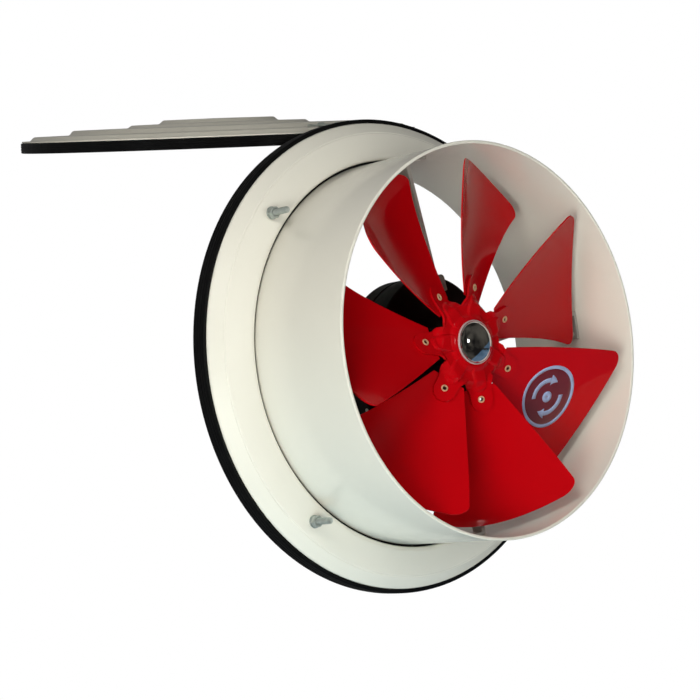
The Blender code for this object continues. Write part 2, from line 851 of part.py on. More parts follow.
def flat_to_world():
    """Maps (x, z, depth) prisms to the world."""
    return Matrix(((1, 0, 0, 0), (0, 0, 1, -SEAT_DEPTH), (0, 1, 0, 0), (0, 0, 0, 1)))


def screw_line(index):
    _, inner, along, across = arm_line(index)
    inset = 0.0085
    middle = inner - along * inset
    depth = arm_front_depth() + ARM_DEPTH / 2
    start = middle - across * (ARM_SHEET / 2)
    origin = Vector((start.x, depth - SEAT_DEPTH, start.y))
    direction = Vector((across.x, 0.0, across.y))
    return origin, direction


def add_ears(front, cutters):
    """Four ears on the motor's front shell, one beside each arm."""
    for index in range(ARM_COUNT):
        _, inner, along, across = arm_line(index)
        near = ARM_SHEET / 2 + CLEARANCE
        far = near + EAR_WIDTH
        tip = inner - along * (MOTOR_RADIUS - ARM_INNER_RADIUS - EAR_INSET)
        foot = inner
        corner = EAR_WIDTH / 4
        outline = [
            foot + across * near,
            tip + across * near,
            tip + across * (far - corner),
            tip + along * corner + across * far,
            foot + across * far,
        ]
        ear = prism(
            f"ear_{index + 1}", [(p.x, p.y) for p in outline], arm_front_depth() - CLEARANCE,
            motor_front_depth() + OVERRUN, flat_to_world(), None, cutters,
        )
        combine(front, ear, "UNION", f"ear_{index + 1}")
    for index in range(ARM_COUNT):
        origin, direction = screw_line(index)
        start = origin - direction * OVERRUN
        end = origin + direction * (ARM_SHEET + EAR_WIDTH + OVERRUN)
        hole = rod(f"ear_hole_{index + 1}", SCREW_RADIUS + CLEARANCE, start, end, cutters)
        combine(front, hole, "DIFFERENCE", f"ear_hole_{index + 1}")


def build_arms(group, cutters, mats):
    """Flat bars with a foot on the tube's inner wall."""
    foot_steps = 4
    weld_gap = 0.0005
    foot_outer = TUBE_INNER - weld_gap
    foot_inner = foot_outer - ARM_SHEET
    turn = FOOT_LENGTH / foot_outer
    for index in range(ARM_COUNT):
        base = TURN * index / ARM_COUNT + ARM_WALL_CLOCK
        outer, inner, along, across = arm_line(index)
        half = ARM_SHEET / 2
        outline = [inner + across * half, inner - across * half]
        near_clock = base - half / foot_outer
        for step in range(foot_steps + 1):
            clock = near_clock + (turn + half / foot_outer) * step / foot_steps
            outline.append(Vector((math.sin(clock), math.cos(clock))) * foot_outer)
        for step in range(foot_steps + 1):
            clock = base + turn - (turn - 2 * half / foot_outer) * step / foot_steps
            outline.append(Vector((math.sin(clock), math.cos(clock))) * foot_inner)
        arm = prism(
            f"motor_arm_{index + 1}", [(p.x, p.y) for p in outline], arm_front_depth(),
            arm_front_depth() + ARM_DEPTH, flat_to_world(), mats["cream"], group,
        )
        origin, direction = screw_line(index)
        hole = rod(
            f"arm_hole_{index + 1}", SCREW_RADIUS + CLEARANCE,
            origin - direction * OVERRUN, origin + direction * (ARM_SHEET + OVERRUN), cutters,
        )
        combine(arm, hole, "DIFFERENCE", "screw_hole")
        build_arm_screw(index, origin, direction, mats["zinc"], group)


def build_arm_screw(index, origin, direction, mat, group):
    head_radius = 0.0040
    head_length = 0.0028
    length = ARM_SHEET + EAR_WIDTH + CLEARANCE
    front = -CLEARANCE
    points = [
        (0.0, 0.0, length),
        (SCREW_RADIUS, 0.0, length),
        (SCREW_RADIUS, 0.0, front),
        (head_radius, 0.0, front),
        (head_radius, 0.0, front - head_length),
        (0.0, 0.0, front - head_length),
    ]
    placing = axis_frame(origin, direction)
    turn_points(f"arm_screw_{index + 1}", points, mat, group, SMALL_STEPS, False, placing)


def build_gland(group, mat):
    """Cable gland on the side of the motor's rear shell."""
    radius = 0.0070
    neck = 0.0050
    length = 0.0140
    bore = 0.0030
    clock = math.radians(225.0)
    depth = motor_front_depth() + MOTOR_LENGTH * 0.70
    start = clock_point(MOTOR_RADIUS + CLEARANCE, clock, depth)
    direction = clock_point(1.0, clock, SEAT_DEPTH)
    points = [
        (bore, 0.0, length),
        (neck, 0.0, length),
        (radius, 0.0, length * 0.7),
        (radius, 0.0, length * 0.25),
        (neck, 0.0, length * 0.25),
        (neck, 0.0, 0.0),
        (0.0, 0.0, 0.0),
    ]
    inside = [(0.0, 0.0, length * 0.3), (bore, 0.0, length * 0.3)]
    turn_points("cable_gland", inside + points, mat, group, SMALL_STEPS, False, axis_frame(start, direction))


# Shutter lid and hinge

def hinge_point():
    return Vector((0.0, HINGE_DEPTH - SEAT_DEPTH, HINGE_HEIGHT))


def add_pivot(group):
    pivot = bpy.data.objects.new("shutter_pivot", None)
    group.objects.link(pivot)
    pivot.matrix_world = Matrix.Translation(hinge_point()) @ Matrix.Rotation(OPEN_ANGLE, 4, "X")
    return pivot


def lid_placing():
    """Placing of lid profiles in the pivot's frame; height grows away from the duct."""
    offset = LID_FRONT_DEPTH - HINGE_DEPTH
    return Matrix.Translation((0.0, offset, -HINGE_HEIGHT)) @ Matrix.Rotation(-TURN / 4, 4, "X")


def hang(obj, pivot, local):
    obj.parent = pivot
    obj.matrix_parent_inverse = Matrix.Identity(4)
    obj.matrix_local = local


def sheet_levels():
    """Heights of the lid's stepped sheet above the rubber's front edge."""
    rim = LID_RUBBER + CLEARANCE + LID_SHEET / 2
    return [rim] + [LID_RUBBER + rise for rise in STEP_RISES]


def build_lid(pivot, group, cutters, mats):
    rim, first, second, third, top = sheet_levels()
    edge_margin = 0.0013
    first_radius = LID_RADIUS - LID_BORDER
    second_radius, third_radius, top_radius = [LID_RADIUS * share for share in STEP_RADIUS_SHARES]
    profile = [
        (0.0, 0.0, top + LID_CROWN),
        (top_radius - LID_FOLD, 0.0, top),
        (top_radius, 0.0, third + LID_CROWN),
        (third_radius - LID_FOLD, 0.0, third),
        (third_radius, 0.0, second + LID_CROWN),
        (second_radius - LID_FOLD, 0.0, second),
        (second_radius, 0.0, first + LID_CROWN),
        (first_radius - LID_FOLD, 0.0, first),
        (first_radius, 0.0, rim),
        (LID_RADIUS - edge_margin, 0.0, rim),
    ]
    disc = turn_points("shutter_disc", profile, mats["lid"], group, RING_STEPS, False, Matrix.Identity(4))
    thicken(disc, LID_SHEET)
    hang(disc, pivot, lid_placing())
    for index in range(2):
        start, end = rivet_span(index)
        hole = rod(f"lid_hole_{index + 1}", RIVET_SHANK + CLEARANCE, start, end, cutters)
        hang(hole, pivot, Matrix.Identity(4))
        combine(disc, hole, "DIFFERENCE", f"rivet_hole_{index + 1}")

    leg = 0.0100
    tongue_overlap = 0.0020
    tongue_start = LID_RUBBER - TONGUE_DROP
    tongue_top = tongue_start + TONGUE_SHEET
    tongue_inner = TUBE_INNER - tongue_overlap
    tongue_outer = first_radius - LID_FOLD * 0.9
    corner = 0.0008
    rubber = [
        (LID_RADIUS, 0.0, LID_RUBBER - corner),
        (LID_RADIUS, 0.0, corner),
        (LID_RADIUS - corner, 0.0, 0.0),
        (LID_RADIUS - leg, 0.0, 0.0),
        (LID_RADIUS - leg, 0.0, tongue_start),
        (tongue_inner, 0.0, tongue_start),
        (tongue_inner, 0.0, tongue_top),
        (tongue_outer, 0.0, tongue_top),
        (tongue_outer + corner, 0.0, LID_RUBBER),
        (LID_RADIUS - corner, 0.0, LID_RUBBER),
    ]
    seal = turn_points("shutter_seal", rubber, mats["rubber"], group, RING_STEPS, True, Matrix.Identity(4))
    hang(seal, pivot, lid_placing())


def leaf_levels():
    """Outward distances from the hinge axis of the leaf's underside."""
    rim, first = sheet_levels()[:2]
    hinge_level = HINGE_DEPTH - LID_FRONT_DEPTH
    over_rim = rim + LID_SHEET / 2 - hinge_level + CLEARANCE
    over_tier = first + LID_CROWN + LID_SHEET / 2 - hinge_level + CLEARANCE
    return over_rim, over_tier


def rivet_span(index):
    """Ends of a leaf rivet's hole in the pivot's frame."""
    along = LEAF_LENGTH * 0.75
    side = LEAF_HALF * (0.6 if index else -0.6)
    low, high = leaf_levels()
    inside = high - LID_SHEET - OVERRUN
    outside = high + LEAF_SHEET + OVERRUN
    return Vector((side, inside, -along)), Vector((side, outside, -along))


def side_to_pivot():
    """Maps (along, outward, x) prisms to the pivot's frame."""
    return Matrix(((0, 0, 1, 0), (0, 1, 0, 0), (-1, 0, 0, 0), (0, 0, 0, 1)))


def build_leaf(pivot, group, cutters, mats):
    over_rim, over_tier = leaf_levels()
    start = KNUCKLE_RADIUS * 0.55
    lid_edge = HINGE_HEIGHT - LID_RADIUS
    ramp_start = lid_edge * 0.55
    ramp_end = lid_edge + LID_BORDER * 0.85
    ramp_rise = over_rim + CLEARANCE / 3
    rise = LEAF_SHEET * 1.1
    bottom = KNUCKLE_RADIUS * 0.40
    draft = LEAF_SHEET * 0.6
    outline = [
        (start, bottom),
        (ramp_start, bottom + draft),
        (lid_edge, ramp_rise),
        (ramp_end, over_tier),
        (LEAF_LENGTH, over_tier),
        (LEAF_LENGTH, over_tier + LEAF_SHEET),
        (ramp_end - LEAF_SHEET * 0.35, over_tier + LEAF_SHEET),
        (lid_edge - LEAF_SHEET / 2, ramp_rise + rise),
        (ramp_start - LEAF_SHEET, KNUCKLE_RADIUS * 0.95),
        (start * 0.4, KNUCKLE_RADIUS * 0.90),
    ]
    leaf = prism("hinge_leaf", outline, -LEAF_HALF, LEAF_HALF, side_to_pivot(), mats["zinc"], group)
    hang(leaf, pivot, Matrix.Identity(4))
    barrel = rod("leaf_barrel", KNUCKLE_RADIUS, Vector((-LEAF_HALF, 0, 0)), Vector((LEAF_HALF, 0, 0)), cutters)
    hang(barrel, pivot, Matrix.Identity(4))
    combine(leaf, barrel, "UNION", "barrel")
    reach = LEAF_HALF + OVERRUN
    bore = rod("leaf_bore", PIN_RADIUS + CLEARANCE, Vector((-reach, 0, 0)), Vector((reach, 0, 0)), cutters)
    hang(bore, pivot, Matrix.Identity(4))
    combine(leaf, bore, "DIFFERENCE", "bore")
    for index in range(2):
        low, high = rivet_span(index)
        hole = rod(f"leaf_hole_{index + 1}", RIVET_SHANK + CLEARANCE, low, high, cutters)
        hang(hole, pivot, Matrix.Identity(4))
        combine(leaf, hole, "DIFFERENCE", f"rivet_hole_{index + 1}")
        build_leaf_rivet(index, low, high, pivot, mats["zinc"], group)


def build_leaf_rivet(index, low, high, pivot, mat, group):
    over_rim, over_tier = leaf_levels()
    head = 0.0040
    tail = 0.0034
    dome = 0.0014
    top = over_tier + LEAF_SHEET + CLEARANCE - low.y
    bottom = over_tier - CLEARANCE - LID_SHEET - CLEARANCE * 3 - low.y
    points = [
        (0.0, 0.0, top + dome),
        (head * 0.7, 0.0, top + dome * 0.75),
        (head, 0.0, top),
        (RIVET_SHANK, 0.0, top),
        (RIVET_SHANK, 0.0, bottom),
        (tail, 0.0, bottom),
        (tail, 0.0, bottom - dome * 0.7),
        (0.0, 0.0, bottom - dome * 0.7),
    ]
    rivet = turn_points(f"leaf_rivet_{index + 1}", points, mat, group, SMALL_STEPS, False, Matrix.Identity(4))
    hang(rivet, pivot, axis_frame(low, high - low))


def build_bracket(group, cutters, mats):
    """Plate under the flange's skirt with two knuckles, and the hinge pin."""
    plate_front = SEAT_DEPTH + SKIRT_CORNER + CLEARANCE
    plate_rear = HINGE_DEPTH - KNUCKLE_RADIUS
    plate = [
        (plate_front, PLATE_TOP - BRACKET_SHEET),
        (plate_rear, PLATE_TOP - BRACKET_SHEET),
        (plate_rear, PLATE_TOP),
        (plate_front, PLATE_TOP),
    ]
    to_world = Matrix(((0, 0, 1, 0), (1, 0, 0, -SEAT_DEPTH), (0, 1, 0, 0), (0, 0, 0, 1)))
    bracket = prism("hinge_bracket", plate, -BRACKET_HALF, BRACKET_HALF, to_world, mats["cream"], group)
    centre = hinge_point()
    inner = LEAF_HALF + CLEARANCE
    for index, sign in enumerate((-1.0, 1.0)):
        low, high = sorted((sign * inner, sign * BRACKET_HALF))
        web = [
            (plate_rear - BRACKET_SHEET * 1.5, PLATE_TOP - BRACKET_SHEET / 2),
            (plate_rear - BRACKET_SHEET * 1.2, PLATE_TOP - BRACKET_SHEET * 1.6),
            (HINGE_DEPTH - KNUCKLE_RADIUS * 0.85, HINGE_HEIGHT - KNUCKLE_RADIUS * 0.2),
            (HINGE_DEPTH, HINGE_HEIGHT + KNUCKLE_RADIUS * 0.8),
            (HINGE_DEPTH - KNUCKLE_RADIUS * 0.3, PLATE_TOP - BRACKET_SHEET * 0.9),
            (plate_rear - BRACKET_SHEET * 0.2, PLATE_TOP - CLEARANCE),
        ]
        block = prism(f"bracket_web_{index + 1}", web, low, high, to_world, None, cutters)
        combine(bracket, block, "UNION", f"web_{index + 1}")
        start = Vector((low, centre.y, centre.z))
        end = Vector((high, centre.y, centre.z))
        barrel = rod(f"bracket_barrel_{index + 1}", KNUCKLE_RADIUS, start, end, cutters)
        combine(bracket, barrel, "UNION", f"barrel_{index + 1}")
    reach = Vector((BRACKET_HALF + OVERRUN, 0.0, 0.0))
    bore = rod("bracket_bore", PIN_RADIUS + CLEARANCE, centre - reach, centre + reach, cutters)
    combine(bracket, bore, "DIFFERENCE", "bore")

    head_radius = 0.0040
    head = 0.0015
    half = BRACKET_HALF + CLEARANCE
    points = [
        (0.0, 0.0, half + head),
        (head_radius, 0.0, half + head),
        (head_radius, 0.0, half),
        (PIN_RADIUS, 0.0, half),
        (PIN_RADIUS, 0.0, -half),
        (head_radius, 0.0, -half),
        (head_radius, 0.0, -half - head),
        (0.0, 0.0, -half - head),
    ]
    turn_points("hinge_pin", points, mats["zinc"], group, SMALL_STEPS, False, axis_frame(centre, Vector((1.0, 0.0, 0.0))))


def make_materials():
    return {
        "cream": make_material("cream_paint", (0.80, 0.79, 0.72), 0.30, coat=0.4),
        "lid": make_material("shutter_paint", (0.62, 0.61, 0.56), 0.40, coat=0.2),
        "rubber": make_material("black_rubber", (0.015, 0.015, 0.017), 0.45),
        "red": make_material("red_paint", (0.50, 0.004, 0.010), 0.25, coat=0.6),
        "black": make_material("black_paint", (0.012, 0.012, 0.012), 0.45),
        "zinc": make_material("zinc_plate", (0.55, 0.58, 0.57), 0.35, metallic=1.0),
        "steel": make_material("core_steel", (0.35, 0.35, 0.36), 0.45, metallic=1.0),
        "chrome": make_material("chrome_plate", (0.80, 0.80, 0.82), 0.05, metallic=1.0),
        "brass": make_material("brass_eyelet", (0.78, 0.62, 0.38), 0.35, metallic=1.0),
        "label": make_material("label_film", (0.45, 0.48, 0.62), 0.35),
    }


def main():
    clear_scene()
    group = make_collection("shutter_exhaust_fan")
    cutters = make_collection("cutters", hidden=True)
    mats = make_materials()
    build_duct_tube(group, mats["cream"])
    build_wall_flange(group, cutters, mats["cream"])
    build_flange_seal(group, mats["rubber"])
    build_studs(group, cutters, mats)
    build_motor(group, cutters, mats)
    build_arms(group, cutters, mats)
    build_gland(group, mats["black"])
    build_hub(group, cutters, mats)
    build_spider(group, cutters, mats["red"])
    build_blades(group, cutters, mats["red"])
    build_eyelets(group, mats["brass"])
    build_label(group, mats["label"])
    pivot = add_pivot(group)
    build_lid(pivot, group, cutters, mats)
    build_leaf(pivot, group, cutters, mats)
    build_bracket(group, cutters, mats)


main()
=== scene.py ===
"""Looks of a wall exhaust fan with a round hinged shutter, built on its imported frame.

Lengths are metres in the frame of the solids. The fan axis is Y, the open mouth
looks towards -Y and +Z is up. Depths are counted back from the tube's front rim,
so a point's Y is its depth less the seat depth.
"""

from math import atan, atan2, cos, hypot, pi, radians, sin, sqrt, tan

import bmesh
import bpy
import numpy as np
from mathutils import Matrix, Vector


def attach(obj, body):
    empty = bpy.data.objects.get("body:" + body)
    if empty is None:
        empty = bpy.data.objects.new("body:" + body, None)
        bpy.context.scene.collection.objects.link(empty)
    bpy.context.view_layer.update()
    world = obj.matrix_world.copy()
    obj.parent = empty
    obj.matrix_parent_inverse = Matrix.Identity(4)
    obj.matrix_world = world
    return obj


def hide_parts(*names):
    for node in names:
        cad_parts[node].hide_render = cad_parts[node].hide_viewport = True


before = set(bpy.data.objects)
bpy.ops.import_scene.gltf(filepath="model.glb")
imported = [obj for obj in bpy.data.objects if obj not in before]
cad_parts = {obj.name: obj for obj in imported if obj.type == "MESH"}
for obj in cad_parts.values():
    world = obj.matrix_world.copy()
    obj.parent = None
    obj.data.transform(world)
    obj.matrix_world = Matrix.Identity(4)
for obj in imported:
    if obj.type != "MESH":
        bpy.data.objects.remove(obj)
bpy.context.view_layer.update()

# Sizes of the solids, and of a few forms that the looks alone have
RIM_RADIUS = 0.18
SEAT_DEPTH = 0.1375
TUBE_DEPTH = SEAT_DEPTH + 0.0178
TUBE_OUTER = 0.179
TUBE_INNER = 0.177
RIM_BEAD = 0.0024
SHEET = 0.0015
CLEARANCE = 0.0003
COLLAR_RADIUS = 0.182
COLLAR_END = 0.134
CREST_DEPTH = 0.1175
SLOPE_START = 0.1852
CREASE_RADIUS = 0.2081
CREASE_DEPTH = 0.1268
CREASE_HALF = 0.0008
CREASE_DENT = 0.0007
FLANGE_BEND = 0.002
SKIRT_RADIUS = 0.2189
SKIRT_CORNER = 0.0019
SKIRT_END = 0.1496
SEAL_WALL = 0.0041
SEAL_WEB = 0.0029

STUD_COUNT = 4
STUD_RADIUS = 0.003
STUD_CIRCLE = 0.1971
STUD_LENGTH = 0.0233
THREAD_PITCH = 0.001
WASHER_RADIUS = 0.006
WASHER_THICKNESS = 0.0012
NUT_RADIUS = 0.00575
NUT_THICKNESS = 0.0048

BLADE_COUNT = 7
TIP_RADIUS = 0.1672
TIP_ROUNDNESS = 1.14
BLADE_SHEET = 0.0012
FIRST_BLADE_CLOCK = radians(-33.8)
BLADE_PITCH = 0.452
BLADE_TWIST = 0.179
BLADE_CAMBER = 0.708
BLADE_RAKE = 0.051
LEADING_EDGE = (0.197, -0.583, 0.039)
TRAILING_EDGE = (0.0515, 0.426, -0.014)
EDGE_REACH = 0.955
RIVET_CIRCLE = 0.0523
BLADE_ROOT = 0.0415
BLADE_CORNER = 0.0125
SPIDER_SHEET = 0.002
SPIDER_LEAD = 0.0022
SPIDER_DEPTH = 0.0335
BLADE_DEPTH = 0.0389
COLLAR_RISE = 0.004
PANEL_RISE = 0.0018
VALLEY_RADIUS = 0.0346
ARM_TIP = 0.0642
SPIGOT_RADIUS = 0.0127
CAP_RADIUS = 0.0202

LABEL_RADIUS = 0.028
LABEL_REACH = 0.113
LABEL_SHIFT = 0.0022

SHAFT_RADIUS = 0.006
MOTOR_RADIUS = 0.067
MOTOR_LENGTH = 0.051
MOTOR_FRONT = 0.0802
ARM_COUNT = 4
ARM_SHEET = 0.003
ARM_FRONT = 0.0667
ARM_DEPTH = 0.013
ARM_WALL_CLOCK = radians(-5.5)
ARM_INNER = 0.05
ARM_OFFSET = 0.003
FOOT_LENGTH = 0.026
EAR_WIDTH = 0.008
EAR_INSET = 0.0012
SCREW_RADIUS = 0.002

OPEN_ANGLE = radians(98.8)
LID_RADIUS = 0.2
LID_SHEET = 0.0012
LID_CROWN = 0.0004
LID_RUBBER = 0.0102
LID_FRONT = 0.146
HINGE_DEPTH = 0.1515
HINGE_HEIGHT = 0.209443
PLATE_TOP = 0.215943
LID_BORDER = 0.0095
LID_FOLD = 0.004
STEP_RISES = (0.005, 0.01, 0.013, 0.017)
STEP_SHARES = (0.755, 0.46, 0.3)
PIN_RADIUS = 0.0025
KNUCKLE_RADIUS = 0.0045
LEAF_SHEET = 0.002
LEAF_LENGTH = 0.048
LEAF_HALF = 0.018
BRACKET_HALF = 0.028
BRACKET_SHEET = 0.002

# Facets
TURN = 2 * pi
RING_STEPS = 180
BODY_STEPS = 120
HUB_STEPS = 72
NUT_STEPS = 72
SMALL_STEPS = 32
TINY_STEPS = 24
SHARP = radians(38)
BEVEL_LIMIT = radians(35)

# Placings of the fan's turned frame, of the hinge pin with the open lid's turn, and of the lid
FAN = Matrix.Rotation(TURN / 4, 4, "X")
PIN_PLACE = Vector((0, HINGE_DEPTH - SEAT_DEPTH, HINGE_HEIGHT))
PIVOT = Matrix.Translation(PIN_PLACE) @ Matrix.Rotation(OPEN_ANGLE, 4, "X")
LID_SHIFT = Matrix.Translation((0, LID_FRONT - HINGE_DEPTH, -HINGE_HEIGHT))
LID = PIVOT @ LID_SHIFT @ Matrix.Rotation(-TURN / 4, 4, "X")
FLAT_TO_WORLD = Matrix(((1, 0, 0, 0), (0, 0, 1, -SEAT_DEPTH), (0, 1, 0, 0), (0, 0, 0, 1)))


# Finishes

class Nodes:
    """Short calls for the node tree of a material or a world."""

    def __init__(self, owner):
        self.owner = owner
        owner.use_nodes = True
        self.tree = owner.node_tree
        self.shader = self.tree.nodes.get("Principled BSDF")
        if owner.id_type == "MATERIAL":
            self.place = self.add("ShaderNodeTexCoord").outputs["Object"]

    def add(self, kind, values=None, **settings):
        """A new node. Its values go by the name or the number of an input."""
        node = self.tree.nodes.new(kind)
        for key, value in settings.items():
            setattr(node, key, value)
        return self.fill(node, values or {})

    def fill(self, node, values):
        for key, value in values.items():
            socket = node.inputs[key]
            if isinstance(value, bpy.types.NodeSocket):
                self.tree.links.new(value, socket)
            elif isinstance(value, tuple) and len(value) == 3 and len(socket.default_value) == 4:
                socket.default_value = (*value, 1)
            else:
                socket.default_value = value
        return node

    def end(self, shader):
        """Makes a shader node the surface of the tree."""
        self.fill(self.tree.get_output_node("ALL"), {"Surface": shader.outputs[0]})

    def noise(self, scale, detail=3, stretch=None, distortion=0):
        place = self.place
        if stretch is not None:
            place = self.add("ShaderNodeVectorMath", {0: place, 1: stretch}, operation="MULTIPLY").outputs[0]
        values = {"Vector": place, "Scale": scale, "Detail": detail, "Distortion": distortion}
        return self.add("ShaderNodeTexNoise", values).outputs["Fac"]

    def math(self, operation, first, second):
        return self.add("ShaderNodeMath", {0: first, 1: second}, operation=operation).outputs[0]

    def remap(self, value, low, high, to_low=0, to_high=1):
        values = {"Value": value, "From Min": low, "From Max": high, "To Min": to_low, "To Max": to_high}
        return self.add("ShaderNodeMapRange", values).outputs["Result"]

    def mix(self, factor, first, second):
        return self.add("ShaderNodeMix", {"Factor": factor, 6: first, 7: second}, data_type="RGBA").outputs[2]

    def mix_shaders(self, factor, first, second):
        return self.add("ShaderNodeMixShader", {0: factor, 1: first.outputs[0], 2: second.outputs[0]})

    def bump(self, height, distance, strength, before=None):
        values = {"Height": height, "Distance": distance, "Strength": strength}
        if before is not None:
            values["Normal"] = before
        return self.add("ShaderNodeBump", values).outputs["Normal"]


MATERIALS = {}
FINE_SHARE = 0.22
SPECK_SHARE = 0.08
WEAR_SPAN = 0.06
WEAR_STRENGTH = 0.8
WAVE_STRENGTH = 0.5


def finish(name, light, dark, rough, patch, grain, metallic=0, coat=0, coat_rough=0.05, wear=None,
           wear_from=0.56, dust=None, wave=None, specular=0.5, brushed=None, slot=None):
    """Patches of colour, uneven gloss, a grain in the surface, worn edges and settled dust.

    Grain is given by scale, height and strength, dust by colour and share, and a wave by scale and height.
    """
    n = Nodes(bpy.data.materials.new(name))
    scale, height, strength = grain
    patches = n.noise(patch, 4, distortion=0.4)
    fine = n.noise(scale * FINE_SHARE)
    colour = n.mix(n.remap(patches, 0.33, 0.67), light, dark)
    if dust is not None:
        dust_colour, dust_share = dust
        specks = n.math("MULTIPLY", n.noise(scale * SPECK_SHARE, 6), n.remap(patches, 0.3, 0.7, 0.7, 1.1))
        colour = n.mix(n.remap(specks, 0.56, 0.7, 0, dust_share), colour, dust_colour)
    if wear is not None:
        point = n.add("ShaderNodeNewGeometry").outputs["Pointiness"]
        edges = n.remap(point, wear_from, wear_from + WEAR_SPAN)
        rubbed = n.math("MULTIPLY", edges, n.remap(fine, 0.35, 0.62))
        colour = n.mix(n.math("MULTIPLY", rubbed, WEAR_STRENGTH), colour, wear)
    uneven = n.math("ADD", n.math("MULTIPLY", fine, 0.5), n.math("MULTIPLY", patches, 0.5))
    normal = n.bump(n.noise(scale, 2), height, strength)
    if wave is not None:
        normal = n.bump(n.noise(wave[0], 1), wave[1], WAVE_STRENGTH, normal)
    if brushed is not None:
        normal = n.bump(n.noise(1, stretch=brushed), height, strength, normal)
    n.fill(n.shader, {
        "Base Color": colour, "Roughness": n.remap(uneven, 0.35, 0.65, *rough), "Normal": normal,
        "Metallic": metallic, "Coat Weight": coat, "Coat Roughness": coat_rough,
        "Specular IOR Level": specular,
    })
    MATERIALS[name] = n.owner, slot or name


finish("cream_paint", (0.855, 0.828, 0.742), (0.82, 0.794, 0.71), (0.19, 0.265), 5, (420, 8e-6, 0.2),
       coat=0.25, wear=(0.84, 0.82, 0.74), dust=((0.6, 0.57, 0.5), 0.06), wave=(30, 15e-5))
finish("shutter_paint", (0.64, 0.615, 0.54), (0.59, 0.566, 0.496), (0.29, 0.4), 6, (420, 12e-6, 0.22),
       coat=0.2, wear=(0.74, 0.72, 0.66), dust=((0.42, 0.4, 0.35), 0.12), wave=(30, 25e-5))
finish("black_rubber", (0.0028, 0.0028, 0.003), (0.005, 0.005, 0.0053), (0.42, 0.56), 30,
       (900, 4e-5, 0.3), wear=(0.02, 0.02, 0.02), wear_from=0.57, dust=((0.02, 0.019, 0.018), 0.12),
       specular=0.14)
finish("red_paint", (0.5, 0.0012, 0.0046), (0.455, 0.001, 0.004), (0.16, 0.24), 9, (420, 10e-6, 0.16),
       coat=0.32, coat_rough=0.03, wear=(0.42, 0.006, 0.008), wear_from=0.57,
       dust=((0.36, 0.008, 0.01), 0.08), wave=(34, 12e-5), specular=0.03)
finish("black_paint", (0.0018, 0.0017, 0.0016), (0.0032, 0.003, 0.0028), (0.42, 0.56), 22,
       (800, 5e-5, 0.35), wear=(0.03, 0.03, 0.03), wear_from=0.57, dust=((0.012, 0.011, 0.01), 0.15),
       specular=0.08)
finish("zinc_plate", (0.5, 0.54, 0.51), (0.38, 0.42, 0.39), (0.28, 0.46), 160, (1800, 3e-5, 0.3),
       metallic=0.5, wear=(0.7, 0.72, 0.7), dust=((0.26, 0.28, 0.24), 0.5))
finish("dull_zinc", (0.23, 0.25, 0.225), (0.17, 0.185, 0.165), (0.4, 0.55), 150, (1600, 4e-5, 0.3),
       metallic=0.2, wear=(0.34, 0.36, 0.34), dust=((0.1, 0.1, 0.09), 0.3), slot="black_paint")
finish("core_steel", (0.36, 0.36, 0.37), (0.24, 0.24, 0.25), (0.32, 0.5), 90, (1500, 3e-5, 0.3),
       metallic=1, brushed=(300, 4000, 300))
finish("chrome_plate", (0.74, 0.74, 0.76), (0.66, 0.66, 0.69), (0.03, 0.07), 120, (900, 4e-6, 0.1),
       metallic=1, dust=((0.3, 0.3, 0.3), 0.12))
# Satin rim of the chrome cap, tinted pink and lighter than the chrome: the pink and the extra brightness are
# a painted reflection of the red blades
finish("cap_rim_painted_sheen", (0.84, 0.76, 0.77), (0.74, 0.67, 0.69), (0.29, 0.38), 160, (1600, 2e-5, 0.25),
       metallic=0.45, wear=(0.92, 0.88, 0.88), slot="chrome_plate")
# Cream paint of the motor arms, darkened to a grey: painted shade, as the arms sit in shadow inside the tube
finish("arm_painted_shade", (0.4, 0.4, 0.36), (0.33, 0.33, 0.295), (0.35, 0.5), 24, (600, 2e-5, 0.25),
       wear=(0.5, 0.5, 0.46), dust=((0.22, 0.21, 0.18), 0.3), slot="cream_paint")
# Dark red-brown lining for the brass rivets' bores: painted shade deep in the holes
finish("eyelet_bore_shade", (0.12, 0.03, 0.018), (0.07, 0.018, 0.012), (0.5, 0.7), 300, (2000, 4e-5, 0.4),
       metallic=0.2, slot="brass_eyelet")
finish("brass_eyelet", (0.84, 0.53, 0.33), (0.68, 0.4, 0.22), (0.3, 0.45), 420, (2600, 3e-5, 0.3),
       metallic=0.35, wear=(0.8, 0.7, 0.52), wear_from=0.55, dust=((0.2, 0.12, 0.08), 0.3))
finish("label_silver", (0.36, 0.44, 0.69), (0.32, 0.39, 0.61), (0.28, 0.38), 60, (1500, 1e-5, 0.2),
       coat=0.3, dust=((0.22, 0.24, 0.34), 0.3), slot="label_film")
finish("label_field", (0.17, 0.012, 0.022), (0.14, 0.01, 0.018), (0.28, 0.38), 60, (1500, 1e-5, 0.2),
       coat=0.3, slot="label_film")
finish("weld_metal", (0.76, 0.732, 0.64), (0.7, 0.674, 0.58), (0.3, 0.45), 200, (900, 1e-4, 0.5),
       coat=0.15, slot="cream_paint")


# Shapes

def add_mesh(name, verts, faces, placing=None):
    mesh = bpy.data.meshes.new(name)
    mesh.from_pydata(verts, [], faces)
    work = bmesh.new()
    work.from_mesh(mesh)
    bmesh.ops.recalc_face_normals(work, faces=work.faces)
    work.to_mesh(mesh)
    work.free()
    if placing is not None:
        mesh.transform(placing)
    mesh.shade_smooth()
    mesh.set_sharp_from_angle(angle=SHARP)
    obj = bpy.data.objects.new(name, mesh)
    bpy.context.scene.collection.objects.link(obj)
    return obj


def dress(obj, look, *nodes, body="housing"):
    """Gives a piece its finish, its body and the nodes that it stands for."""
    material, slot = MATERIALS[look]
    obj.data.materials.append(material)
    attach(obj, body)
    if nodes:
        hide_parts(*nodes)


def bevel(obj, width, segments=2):
    mod = obj.modifiers.new("bevel", "BEVEL")
    mod.width = width
    mod.segments = segments
    mod.limit_method = "ANGLE"
    mod.angle_limit = BEVEL_LIMIT
    obj.data.shade_smooth()
    smooth = obj.modifiers.new("even", "WEIGHTED_NORMAL")
    smooth.keep_sharp = False
    return obj


